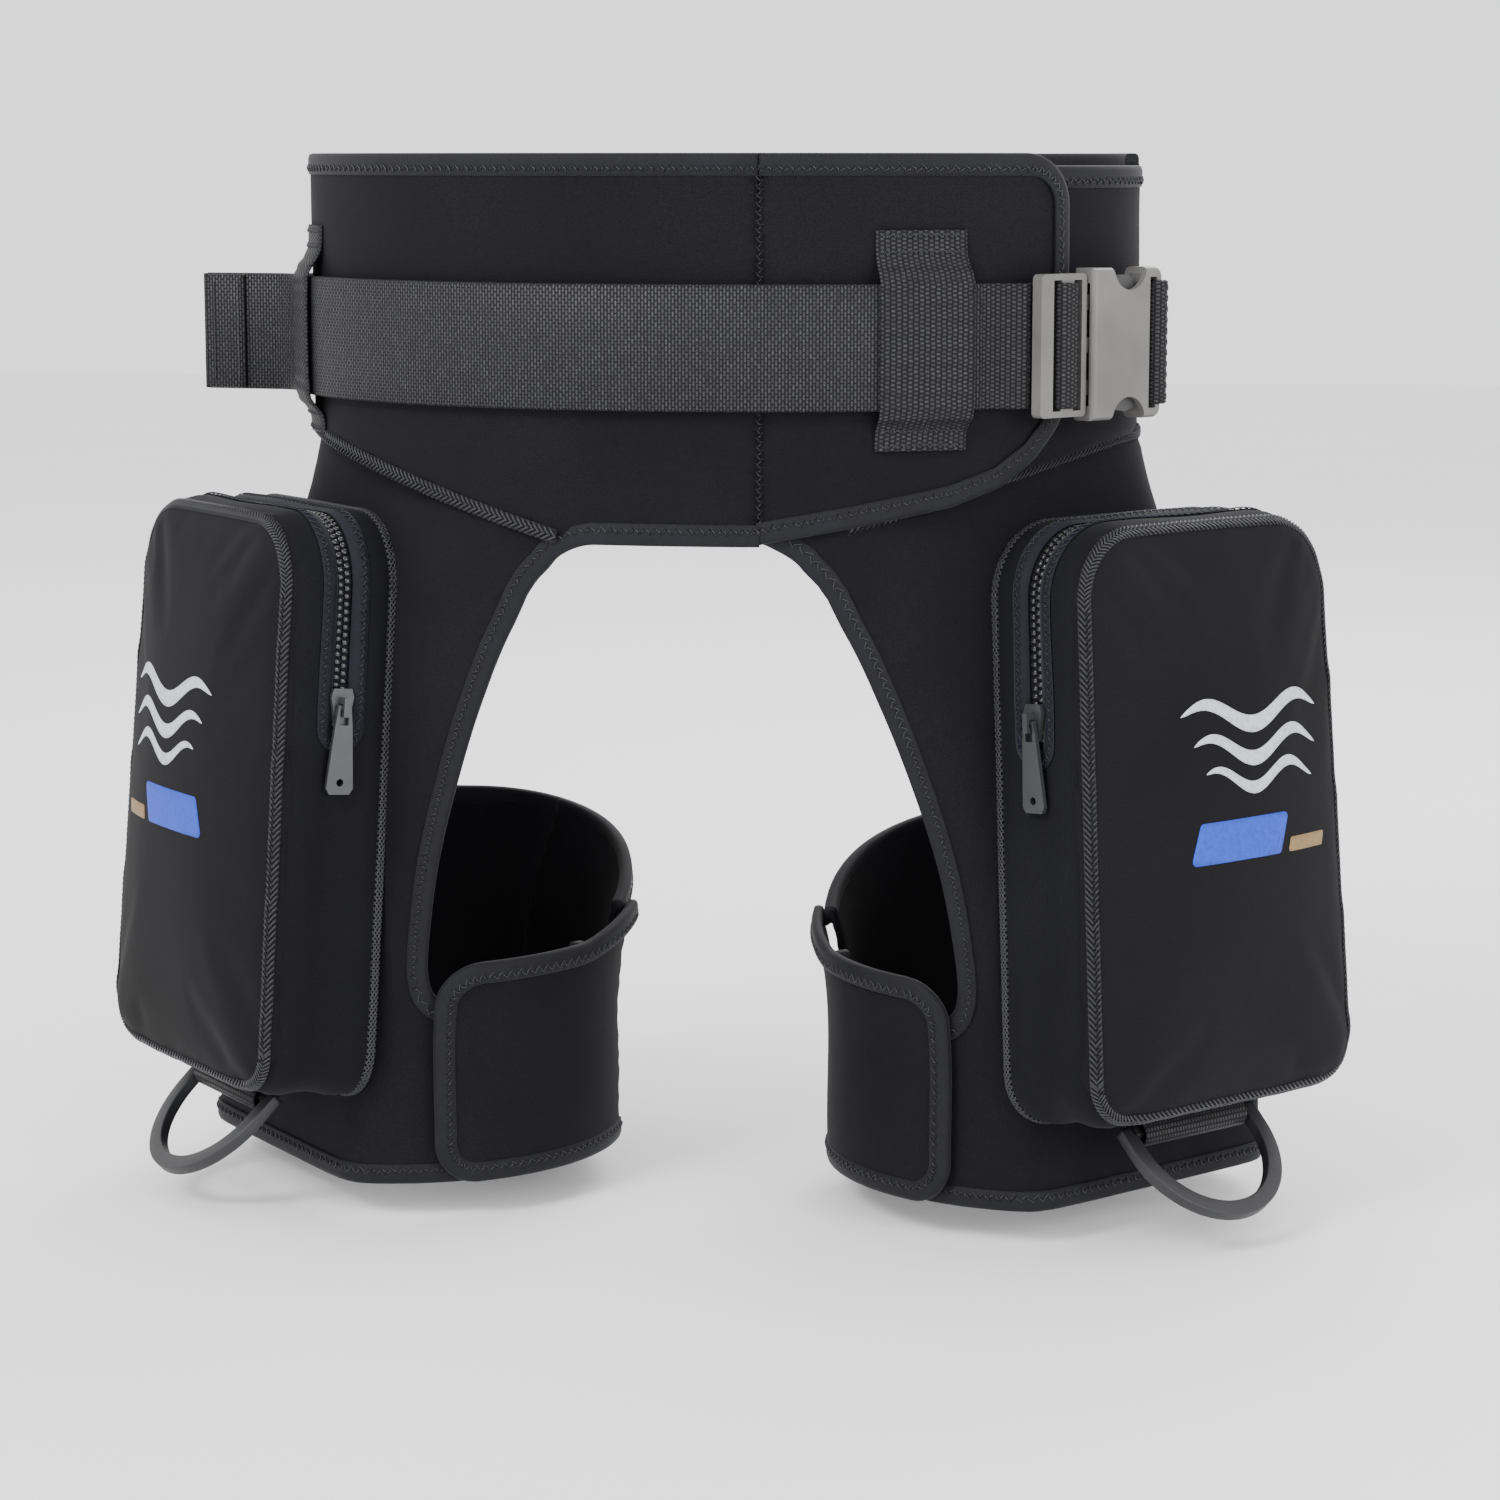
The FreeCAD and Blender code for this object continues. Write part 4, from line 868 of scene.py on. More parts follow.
def wrap_seams():
    """Butt seams between the panels, the seams to the legs and the hook-and-loop pair under the flap."""
    butts = (("centre_butt_seam", BUTT_SEAM, True, FLAP_CLOTH, 8), ("left_side_seam", BACK_LEFT, True, LEFT_CLOTH, 8),
             ("right_side_seam", BACK_RIGHT, False, BACK_CLOTH, 13))
    for name, angle, lifted, surface, below_top in butts:
        low = lower_edge(angle - 1, angle, lifted)[-1][1]
        line = trace([(angle * DEG, low + 2), (angle * DEG, WAIST_TOP - below_top)], surface, 1.7)
        stitched = threads(name, [zigzag(line, -1.3, 1.3, 0.12, arch=0.15)], 0.2, SEAM_THREAD, 4)
        hold(stitched, "wrap", "neoprene")
    hooks = rounded([(18 * DEG, -34), (52 * DEG, -34), (52 * DEG, 54), (18 * DEG, 54)], [4] * 4)
    hold(patch("flap_hooks", hooks, SMOOTH_WRAP, 1.2, 2.4, HOOKS, 6), "wrap", "hook_tape", "flap_hook_patch")
    loops = rounded([(14 * DEG, -38), (54 * DEG, -38), (54 * DEG, 58), (14 * DEG, 58)], [4] * 4)
    hold(patch("under_loops", loops, SMOOTH_WRAP, 0.1, 1.15, LOOPS, 6), "wrap", "loop_tape", "under_loop_patch")

    def leg_seam(start, count):
        path = [(angle * LEG_DEG, seam_top(angle) - 0.2) for angle in np.linspace(start, 163, count)]
        return trace(path, LEG, SEAM_STEP)

    # Flatlock seam where each leg joins the wrap.  On the left it lies on the lifted wrap in front.
    seam("right_waist_seam", leg_seam(17, 50))
    seam("left_back_waist_seam", across_mirror(leg_seam(88, 30)))
    path = [(u, v + 1.2) for u, v in lower_edge(BACK_LEFT + 2, -15, True, step=2.0)]
    seam("left_waist_seam", trace(path, LEFT_CLOTH, SEAM_STEP))


# -------------------- webbing
def strap_section(half, low, high, ribs=0):
    """Flat webbing's cross-section; ribs adds lengthwise ridges on its outer face."""
    edge = (high - low) * 0.45
    top = [(-half, low + edge), (-half + edge, high)]
    if ribs:
        width = (2 * half - 2 * edge) / ribs
        for i in range(ribs):
            base = -half + edge + i * width
            top += [(base + width * share, high + rise) for share, rise in
                    ((0.15, -0.28), (0.35, 0.05), (0.65, 0.05), (0.85, -0.28))]
    top += [(half - edge, high), (half, low + edge)]
    return top + [(half - edge, low), (-half + edge, low)]


def webbing():
    """The strand round the back, the two strands in front and the tail's sewn end."""
    section = strap_section(HALF_WEB, INNER_STRAND, INNER_STRAND + WEB)
    for name, start, end, surface in (("back_strand", 92, 276, SMOOTH_WRAP),
                                      ("front_strand", -83.5, TURN_START, SMOOTH_LIFTED)):
        line = trace([(start * DEG, 0), (end * DEG, 0)], surface, 4)
        hold(sweep(name, line, section, WEBBING), "wrap", "webbing", "webbing_" + name)

    # The tail strand runs on past the left belt loop, bends away from the wrap and ends in a sewn fold.
    angles = np.linspace(TURN_START, -79, 70)
    base = SMOOTH_LIFTED(angles * DEG, np.zeros(70), np.full(70, OUTER_STRAND + 0.1))
    leaving = SMOOTH_LIFTED(np.array([-83.5 * DEG]), np.zeros(1), np.full(1, OUTER_STRAND))[0]
    leaving = leaving + np.array([0, 2.2, 0])
    direction = unit(np.array([-0.985, 0.17, 0.0]))
    drift = np.array([0, 1.4, 0])
    free = np.array([leaving + direction * step - drift * math.sin(step / 46 * math.pi * 0.5) ** 2
                     for step in np.linspace(4, 46.5, 15)])
    points = np.concatenate([base, free])
    for _ in range(5):
        points[62:78] = (points[61:77] + 2 * points[62:78] + points[63:79]) / 4
    line = Line(points, np.cross(np.gradient(points, axis=0), [0, 0, -1.0]))
    if line.normals[0] @ base[0] < 0:
        line = Line(points, -line.normals)
    tail = sweep("tail_strand", line, strap_section(HALF_WEB, 0, WEB), WEBBING)
    hold(tail, "wrap", "webbing", "webbing_tail_strand", "webbing_tail_end")
    fold = Line(points[-7:], line.normals[-7:])
    section = strap_section(HALF_WEB - 0.5, WEB - 0.1, 2 * WEB - 0.2)
    hold(sweep("tail_hem", fold, section, WEBBING), "wrap", "webbing")
    lip = [(-HALF_WEB + 0.3, 0.3), (-HALF_WEB + 0.3, 2 * WEB - 0.5), (HALF_WEB - 0.3, 2 * WEB - 0.5),
           (HALF_WEB - 0.3, 0.3)]
    end = Line(np.array([points[-1] - direction * 0.5, points[-1] + direction * 0.9]), line.normals[-2:])
    hold(sweep("tail_fold", end, lip, WEBBING), "wrap", "webbing")
    rows = []
    for step in (4.0, 15.5):
        middle = points[-1] - direction * step + line.normals[-1] * (2 * WEB - 0.25)
        rows.append([middle + np.array([0, 0, z]) + line.normals[-1] * (0.35 if i % 2 else -0.1)
                     for i, z in enumerate(np.linspace(-21, 21, 29))])
    hold(threads("tail_stitches", rows, 0.33, SEAM_THREAD), "wrap", "webbing")


def belt_loops():
    """Ribbed webbing over the belt, sewn down above and below it with bar tacks."""
    places = (("belt_loop_front_right", 32, True), ("belt_loop_front_left", -74, True),
              ("belt_loop_back_right", 140, False), ("belt_loop_back_left", 220, False))
    count, reach = 130, 6.6
    for node, angle, lifted in places:
        surface = SMOOTH_LIFTED if lifted else SMOOTH_WRAP
        turn = math.radians(angle)
        local_deg = math.hypot(WAIST_A * math.cos(turn), WAIST_B * math.sin(turn))
        stretch = DEG / math.radians(local_deg)
        profile = np.array([(46, 0.15), (40, 0.2), (35, 0.8), (30, 4.2), (26, reach), (14, reach + 0.5),
                            (0, reach + 0.6), (-14, reach + 0.5), (-26, reach), (-29, 4.4), (-33, 0.9),
                            (-37, 0.2), (-41, 0.15)])
        runs = np.concatenate([[0], np.cumsum(np.linalg.norm(np.diff(profile, axis=0), axis=1))])
        t = np.linspace(0, runs[-1], count)
        z, out = (np.interp(t, runs, profile[:, i]) for i in range(2))
        for _ in range(6):
            out[1:-1] = (out[:-2] + 2 * out[1:-1] + out[2:]) / 4
        # Crosswise ribs fade out where the webbing is sewn down.
        fade = smoothstep((runs[-1] / 2 - 8 - np.abs(t - runs[-1] / 2)) / 6)
        ribs = 0.3 * np.cos(2 * math.pi * t / 5.9) * fade
        across = np.array([-18, -17.6, -13, -8, -3, 3, 8, 13, 17.6, 18.0])
        thin = np.array([0.45] + [0.0] * 8 + [0.45])
        u = angle * DEG + np.tile(across, (count, 1)) * stretch
        v = np.repeat(z[:, None], 10, axis=1)
        top = surface(u, v, out[:, None] + 1.35 + ribs[:, None] - thin)
        bottom = surface(u, v, out[:, None] + thin)
        uvs = np.stack([np.tile(across, (count, 1)), np.repeat(t[:, None], 10, axis=1)], -1)
        hold(slab(node + "_webbing", top, bottom, RIBBED, uvs), "wrap", "webbing", node)
        rows = []
        for middle in (t[3], t[12], t[-13], t[-4]):
            side = np.linspace(-16, 16, 33)
            wiggle = np.where(np.arange(33) % 2, 0.7, -0.7)
            at = np.interp(middle + wiggle, t, z)
            height = np.interp(middle, t, out) + 1.35 + np.where(np.arange(33) % 2, 0.35, -0.1)
            rows.append(surface(angle * DEG + side * stretch, at, height))
        hold(threads(node + "_tacks", rows, 0.34, SEAM_THREAD, 4), "wrap", "webbing")


BUCKLE_ANGLE, BUCKLE_OFFSET = math.radians(60), 14.5
BUCKLE_AT = np.array([(WAIST_A + BUCKLE_OFFSET) * math.sin(BUCKLE_ANGLE), -(WAIST_B + BUCKLE_OFFSET)
                      * math.cos(BUCKLE_ANGLE), 0.0])
BUCKLE_X = unit(np.array([(WAIST_A + BUCKLE_OFFSET) * math.cos(BUCKLE_ANGLE),
                          (WAIST_B + BUCKLE_OFFSET) * math.sin(BUCKLE_ANGLE), 0.0]))
BUCKLE_OUT = np.cross(BUCKLE_X, [0, 0, 1.0])


def buckle_at(along, outward):
    return BUCKLE_AT + BUCKLE_X * along + BUCKLE_OUT * outward


def buckle_straps():
    """Webbing from the strands to the two buckle halves."""
    turns = np.array([TURN_START, TURN_START + 2, TURN_START + 1]) * DEG
    start = SMOOTH_LIFTED(turns, np.zeros(3), np.full(3, 3.3))
    points = [start[0], start[1], buckle_at(-40, -5.2), buckle_at(-33, -5.0), buckle_at(-29, -3.4),
              buckle_at(-27.4, 0.0), buckle_at(-26.6, 3.0), buckle_at(-24, 4.0), buckle_at(-20, 4.0),
              buckle_at(-17.4, 3.0), buckle_at(-16.6, 0.0), buckle_at(-17.4, -3.0), buckle_at(-20, -4.2),
              buckle_at(-26, -4.6)]
    line = smooth_line(points, 60)
    strap = sweep("male_end_webbing", line, strap_section(HALF_WEB, -0.8, 0.8, ribs=11), RIBBED)
    near, far = tuple(start[2] * MM), tuple(buckle_at(-30, -5) * MM)
    hold(strap, "wrap", "webbing", "webbing_male_end", blend=("buckle_male", near, far))

    finish = SMOOTH_WRAP(np.array([85, 88, 92, 95]) * DEG, np.zeros(4), np.array([3.0, 2.5, 2.3, 2.3]))
    points = [buckle_at(20.5, -6.8), buckle_at(23.6, -7.2), buckle_at(24.1, -3), buckle_at(24.1, 4),
              buckle_at(25.6, 7.0), buckle_at(29, 7.4), buckle_at(31.8, 5.6), buckle_at(32.6, 1),
              buckle_at(33.2, -3.5), buckle_at(37, -7.5), *finish]
    line = smooth_line(points, 70)
    strap = sweep("female_end_webbing", line, strap_section(HALF_WEB, -0.8, 0.8, ribs=11), RIBBED)
    hold(strap, "wrap", "webbing", "webbing_female_end")


def smooth_line(points, count):
    """Line through given points, smoothed by a Catmull-Rom curve, with normals across the Z axis."""
    points = np.array(points, float)
    padded = np.concatenate([[2 * points[0] - points[1]], points, [2 * points[-1] - points[-2]]])
    made = []
    for step in np.linspace(0, len(points) - 1 - 1e-6, count):
        i = int(step)
        t = step - i
        a, b, c, d = padded[i:i + 4]
        made.append(0.5 * (2 * b + (c - a) * t + (2 * a - 5 * b + 4 * c - d) * t * t
                           + (3 * b - a - 3 * c + d) * t ** 3))
    made = np.array(made)
    return Line(made, np.cross(np.gradient(made, axis=0), [0, 0, 1.0]))


# -------------------- legs
def leg_outline():
    """Outline (u, height) of the right thigh panel, and the stretches of it that are bound."""
    levels = [z for z in range(-76, -282, -6)]
    front = [(arch_angle(z, True), z) for z in levels if z > ring_top(arch_angle(z, True)) + 1]
    back = [(arch_angle(z, False), z) for z in levels if z > ring_top(arch_angle(z, False)) + 1]
    top = [(angle, seam_top(angle) + 5 * float(smoothstep((34 - angle) / 12)))
           for angle in np.linspace(front[0][0] + 1, back[0][0] - 2, 60)]
    ring_front = [(angle, ring_top(angle)) for angle in np.linspace(front[-1][0] - 3, CUFF_END, 22)]
    ring_back = [(angle, ring_top(angle)) for angle in np.linspace(back[-1][0] + 3, SEAM_BACK, 18)]
    bottom = [(angle, RING_LOW) for angle in np.linspace(SEAM_BACK, CUFF_END, 70)]
    front_run = bend(front + ring_front, len(front), 4)
    back_run = bend(back + ring_back, len(back), 4)
    scale = np.array([LEG_DEG, 1.0])
    outline = [np.array(p) * scale for p in top + back_run + bottom + list(reversed(front_run))]
    return outline, [np.array(p) * scale for p in front_run], [np.array(p) * scale for p in back_run]


def legs():
    """Thigh panels, the bands behind the legs, their bound edges and the hook-and-loop tabs."""
    outline, front_run, back_run = leg_outline()
    panel = patch("right_thigh_cloth", outline, LEG, -NEOPRENE, 0, NEO, 5.5)
    for obj in pair(panel, "wrap", "neoprene", "thigh_panel"):
        sheet_of(obj, 0.52, 0.33, "stretched")
    edge = trace(front_run[1:], LEG, 1.0)
    # On the right the binding starts behind the flap; on the left it runs on from the wrap's own hem.
    behind = trace([(4 * DEG, -72), (10 * DEG, -74.5)], SMOOTH_WRAP, 1.0)
    bind("right_front_arch_binding", joined([behind, edge], BIND_STEP), "right_arch_binding", outward=-1)
    hem = trace(list(reversed(lower_edge(-12, BUTT_SEAM, True, step=1.0))), LEFT_CLOTH, 1.0)
    bind("left_front_arch_binding", joined([hem, across_mirror(edge)], BIND_STEP), "left_arch_binding")
    bind("right_back_arch_binding", trace(back_run, LEG, BIND_STEP), twin=True)

    strap_top = [(angle * LEG_DEG, ring_top(angle)) for angle in np.linspace(SEAM_BACK, STRAP_END, 16)]
    strap = strap_top + [(STRAP_END * LEG_DEG, RING_LOW), (SEAM_BACK * LEG_DEG, RING_LOW)]
    cloth = patch("right_leg_band_cloth", strap, LEG, -NEOPRENE, 0, NEO, 5)
    for obj in pair(cloth, "wrap", "neoprene", "leg_strap"):
        sheet_of(obj, 0.115, 0.13, "stretched")
    low_edge = [(angle * LEG_DEG, RING_LOW) for angle in np.linspace(CUFF_END, STRAP_END, 100)]
    cuff = [(CUFF_END * LEG_DEG, RING_LOW), (CUFF_END * LEG_DEG, ring_top(CUFF_END))]
    for name, path, outward in (("band", strap_top, 1), ("hem", low_edge, -1)):
        bind(f"right_leg_{name}_binding", trace(path, LEG, BIND_STEP), outward=outward, twin=True)
    bind("right_cuff_end_binding", trace(cuff, LEG, BIND_STEP), twin=True)

    smooth_leg = leg_at(0, 0)

    def strip(start, end, low, high):
        corners = [(start, low), (end, low), (end, high), (start, high)]
        return rounded([(angle * LEG_DEG, height) for angle, height in corners], [3] * 4)

    loops = patch("right_leg_loops", strip(CUFF_END, -28, -348, -292), smooth_leg, 0.1, 1.3, LOOPS, 5)
    pair(loops, "wrap", "loop_tape", "leg_loop_patch")
    hooks = patch("right_leg_hooks", strip(-60, -29, -344, -296), smooth_leg, 1.4, 2.3, HOOKS, 5)
    pair(hooks, "SIDE_leg_tab", "hook_tape", "leg_hook_patch")

    corners = [(-94, RING_LOW + 0.5), (TAB_END, RING_LOW + 0.5), (TAB_END, -262), (-66, -260), (-94, -250)]
    tab = rounded([(angle * LEG_DEG, height) for angle, height in corners], [0, 17, 17, 40, 0])
    root = ("SIDE_leg_tab", (49, 2, -310), (56, -28, -310))
    cloth = patch("right_leg_tab_cloth", tab, smooth_leg, 2.3, 5.3, NEO, 4.5)
    for made in pair(cloth, "wrap", "neoprene", "leg_tab", blend=root):
        sheet_of(made, 0.115, 0.095, "stretched")
    line = trace(tab, lambda u, v, offset: smooth_leg(u, v, offset + 5.3), BIND_STEP)
    section = [(-across, height) for across, height in tape_section(3.0)]
    pair(sweep("right_leg_tab_binding", line, section, TAPE), "wrap", "stretch_binding", blend=root)
    pair(bind_stitches("right_leg_tab_stitches", line, -1), "wrap", "stretch_binding", blend=root)


# -------------------- pockets
def base_outline():
    corners = [(-HALF_BOTTOM, BASE_LOW), (HALF_BOTTOM, BASE_LOW), (HALF_TOP, BASE_HIGH),
               (-HALF_TOP, BASE_HIGH)]
    shape = rounded(corners, [BOTTOM_RADIUS, BOTTOM_RADIUS, TOP_RADIUS, TOP_RADIUS], 1.5)
    shape = dense(shape, 1.5, True)
    start = int(np.argmin(np.abs(shape[:, 0]) + np.where(shape[:, 1] < 0, 0, 1000)))
    return np.roll(shape, -start, 0)


BASE = base_outline()
BASE_AHEAD = unit(np.roll(BASE, -1, 0) - np.roll(BASE, 1, 0))
BASE_OUT = np.stack([BASE_AHEAD[:, 1], -BASE_AHEAD[:, 0]], 1)
BASE_STEPS = np.diff(np.concatenate([BASE, BASE[:1]]), axis=0)
BASE_ALONG = np.concatenate([[0], np.cumsum(np.linalg.norm(BASE_STEPS, axis=1))])
GIRTH = float(BASE_ALONG[-1])


def on_base(s):
    """Point and outward direction on the pocket's base outline at a distance round it."""
    s = np.mod(np.asarray(s, float), GIRTH)
    wrap = np.concatenate([BASE, BASE[:1]])
    out = np.concatenate([BASE_OUT, BASE_OUT[:1]])
    point = np.stack([np.interp(s, BASE_ALONG, wrap[:, i]) for i in range(2)], -1)
    outward = unit(np.stack([np.interp(s, BASE_ALONG, out[:, i]) for i in range(2)], -1))
    return point, outward


def gusset(u, v, offset):
    """Pocket's side wall: u runs round the base from the middle of its bottom, v away from the leg."""
    point, outward = on_base(u)
    v = np.asarray(v, float)
    lower = 1.7 * np.sin(np.clip(v / 18.0, 0, 1) * math.pi)
    upper = 1.6 * np.sin(np.clip((v - 27.0) / 17.0, 0, 1) * math.pi)
    crease = 0.35 * np.sin(np.asarray(u, float) * 0.09) * np.sin(np.clip(v / 44, 0, 1) * math.pi * 2)
    out = offset - v * TAPER + lower + upper + crease
    flat = point + outward * out[..., None]
    return local(flat[..., 0], flat[..., 1], v)


def zip_ends():
    """Distances round the base at which the zip starts (outer side) and ends (inner side)."""
    side = np.where((BASE[:-1, 1] < ZIP_LOW) != (BASE[1:, 1] < ZIP_LOW))[0]
    return float(BASE_ALONG[side[0]]), float(BASE_ALONG[side[-1]])


ZIP_A, ZIP_B = zip_ends()


def stadium(start, end, middle, half, step=1.6):
    """Closed long outline with round ends."""
    count = max(6, int(math.pi * half / step))
    made = [(end + half * math.sin(math.pi * i / count), middle - half * math.cos(math.pi * i / count))
            for i in range(count + 1)]
    made += [(start - half * math.sin(math.pi * i / count), middle + half * math.cos(math.pi * i / count))
             for i in range(count + 1)]
    return made


def pocket_sides():
    outline = [(0.2, 0.3), (GIRTH - 0.2, 0.3), (GIRTH - 0.2, GUSSET + 0.5), (0.2, GUSSET + 0.5)]
    opening = stadium(ZIP_A, ZIP_B, ZIP_MIDDLE, 3.5)
    wall = patch("right_gusset_cloth", outline, gusset, -NEOPRENE, 0, NEO_GUSSET, 5, holes=[opening],
                 soften=0.1)
    for obj in pair(wall, "wrap", "neoprene", "pocket_gusset"):
        sheet_of(obj, GIRTH * MM, 0.0447, "stretched")
    around = [(s, 0.9) for s in np.arange(0, GIRTH, 3)]
    line = trace(around, gusset, SEAM_STEP, True)
    seam("right_pocket_base_seam", line, twin=True, half=2.0, height=0.5)


def zips():
    """Zip round the top of the pocket: tape, bound slot and two rows of moulded teeth."""
    outline = stadium(ZIP_A - 3, ZIP_B + 3, ZIP_MIDDLE, 5.4)
    strip = patch("right_zip_tape_cloth", outline, gusset, -1.9, -0.9, NAVY, 4)
    pair(strip, "wrap", "zip_tape", "zip_tape")
    ring = patch("right_zip_binding", stadium(ZIP_A, ZIP_B, ZIP_MIDDLE, 10.4), gusset, 0.02, 1.0, NAVY, 4,
                 holes=[stadium(ZIP_A, ZIP_B, ZIP_MIDDLE, 3.3)], soften=0.45)
    pair(ring, "wrap", "zip_tape")
    line = trace(stadium(ZIP_A, ZIP_B, ZIP_MIDDLE, 8.3), gusset, 1.9, True)
    stitches = threads("right_zip_stitches", [zigzag(line, -1.5, 1.5, 1.05)], 0.27, NAVY_THREAD, 4)
    pair(stitches, "wrap", "zip_tape")
    line = trace([(ZIP_A, ZIP_MIDDLE), (ZIP_B, ZIP_MIDDLE)], gusset, 1.6)
    points, faces = [], []
    profile = [(-0.78, -0.5), (-0.5, -0.85), (0.5, -0.85), (0.78, -0.5), (0.78, 0.5), (0.5, 0.85),
               (-0.5, 0.85), (-0.78, 0.5)]
    for index in range(1, len(line.points) - 1):
        row = 1 if index % 2 else -1
        for height, grow in ((-1.5, 1.0), (-0.1, 1.05), (0.38, 0.62)):
            for along, across in profile:
                place = line.at(index, row * 1.55 + across * 1.75 * grow, height)
                points.append(place + line.ahead[index] * along * 1.45 * grow)
        start = len(points) - 24
        for level in range(2):
            for j in range(8):
                k = (j + 1) % 8
                faces.append((start + level * 8 + j, start + level * 8 + k, start + level * 8 + 8 + k,
                              start + level * 8 + 8 + j))
        faces.append(tuple(start + j for j in reversed(range(8))))
        faces.append(tuple(start + 16 + j for j in range(8)))
    teeth = piece("right_zip_chain", points, faces, TEETH)
    pair(teeth, "wrap", "zip_teeth", "zip_teeth")


def face_outline(grow=0.0, step=2.5):
    """Outline of the pocket's front where it meets the side wall."""
    inset = GUSSET * TAPER - grow
    corners = [(-HALF_BOTTOM + inset, BASE_LOW + inset), (HALF_BOTTOM - inset, BASE_LOW + inset),
               (HALF_TOP - inset, BASE_HIGH - inset), (-HALF_TOP + inset, BASE_HIGH - inset)]
    return rounded(corners, [BOTTOM_RADIUS - 2, BOTTOM_RADIUS - 2, TOP_RADIUS - 2, TOP_RADIUS - 2], step)


def face_shape():
    """Crowned pocket front: a closed form with a rolled edge, later swelled by cloth simulation."""
    border = dense(face_outline(0.9), 1.5, True)

    def surface(u, v, offset):
        flat = np.stack([u, v], 1)
        reach = np.sqrt(np.array([np.min(np.sum((border - p) ** 2, axis=1)) for p in flat]))
        roll = np.sqrt(1 - (1 - np.clip(reach / 13.0, 0, 1)) ** 2)
        dome = (1 - np.clip(np.abs(u) / 76, 0, 1) ** 2) * (1 - np.clip(np.abs(v - 4) / 123, 0, 1) ** 2)
        return local(u, v, np.where(offset > 0, GUSSET + 1.5 + 7.5 * roll + 3.5 * dome, GUSSET - 5.0))

    return patch("right_pocket_cushion", face_outline(0.9), surface, 0, 1, NEO_POCKET, 5, soften=0)


def inflate(obj, cap, pressure=4.0):
    """Voxel remesh, a short cloth simulation with pressure and a cap on its travel, one subdivision."""
    bpy.context.view_layer.objects.active = obj
    remesh = obj.modifiers.new("Remesh", "REMESH")
    remesh.mode = "VOXEL"
    remesh.voxel_size = 0.0040
    bpy.ops.object.modifier_apply(modifier=remesh.name)
    rest = np.array([v.co for v in obj.data.vertices])
    depth = (rest / MM - POCKET) @ NORMAL
    pinned = obj.vertex_groups.new(name="pinned")
    pinned.add([int(i) for i in np.where(depth < GUSSET + 2.5)[0]], 1.0, "REPLACE")
    cloth = obj.modifiers.new("Cloth", "CLOTH")
    settings = cloth.settings
    settings.quality = 6
    settings.mass = 0.3
    settings.tension_stiffness = 18
    settings.compression_stiffness = 12
    settings.bending_stiffness = 1.2
    settings.use_pressure = True
    settings.uniform_pressure_force = pressure
    settings.effector_weights.gravity = 0
    settings.vertex_group_mass = "pinned"
    cloth.collision_settings.use_collision = False
    scene = bpy.context.scene
    scene.frame_start, scene.frame_end = 1, 20
    for number in range(1, 21):
        scene.frame_set(number)
    evaluated = obj.evaluated_get(bpy.context.evaluated_depsgraph_get())
    moved = np.array([v.co for v in evaluated.data.vertices]) - rest
    obj.modifiers.remove(cloth)
    scene.frame_set(1)
    length = np.linalg.norm(moved, axis=1, keepdims=True)
    limit = cap * MM
    rest = rest + moved * np.minimum(1, limit / np.maximum(length, 1e-9))
    obj.data.vertices.foreach_set("co", rest.astype(np.float32).ravel())
    obj.vertex_groups.clear()
    smooth = obj.modifiers.new("Smooth", "SMOOTH")
    smooth.factor = 0.5
    smooth.iterations = 4
    bpy.ops.object.modifier_apply(modifier=smooth.name)
    divide = obj.modifiers.new("Subdivision", "SUBSURF")
    divide.levels = divide.render_levels = 1
    bpy.ops.object.modifier_apply(modifier=divide.name)
    obj.data.shade_smooth()


def on_face(obj):
    """Surface that drops (x, y) of the pocket's frame onto the finished face."""
    tree = BVHTree.FromObject(obj, bpy.context.evaluated_depsgraph_get())
    down = Vector(-NORMAL)

    def surface(u, v, offset):
        starts = local(u, v, np.full(np.shape(u), 120.0))
        made = []
        offsets = np.broadcast_to(offset, np.shape(u))
        for start, height in zip(starts, offsets):
            place, normal, *_ = tree.ray_cast(Vector(start * MM), down)
            blend = unit(np.array(normal) * 0.6 + NORMAL * 0.4)
            made.append(np.array(place) / MM + blend * height)
        return np.array(made)
    return surface, tree


def edge_line(tree, step):
    """Line round the rolled edge of the face, found by looking in at 45 degrees from outside it."""
    shape = dense(face_outline(0.9, 1.0), step, True)
    ahead = unit(np.roll(shape, -1, 0) - np.roll(shape, 1, 0))
    flat_out = np.stack([ahead[:, 1], -ahead[:, 0]], 1)
    outward = np.outer(flat_out[:, 0], ACROSS) + np.outer(flat_out[:, 1], UP)
    points, normals = [], []
    for (x, y), out in zip(shape - flat_out * 2.5, outward):
        toward = unit(out * 0.62 + NORMAL * 0.78)
        start = local(x, y, GUSSET + 4.0) + toward * 40
        place, normal, *_ = tree.ray_cast(Vector(start * MM), Vector(-toward))
        points.append(np.array(place) / MM)
        normals.append(unit(np.array(normal) * 0.4 + toward * 0.6))
    points, normals = np.array(points), np.array(normals)
    for _ in range(4):
        points = (np.roll(points, 1, 0) + 2 * points + np.roll(points, -1, 0)) / 4
        normals = (np.roll(normals, 1, 0) + 2 * normals + np.roll(normals, -1, 0)) / 4
    return Line(points, normals, True)


def pocket_faces():
    face = face_shape()
    inflate(face, 6.0)
    surface, tree = on_face(face)
    for obj in pair(face, "wrap", "pocket_neoprene", "pocket_face"):
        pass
    seam("right_face_seam", edge_line(tree, SEAM_STEP), "pocket_neoprene", twin=True, half=2.7, height=0.3)
    emblem(surface)


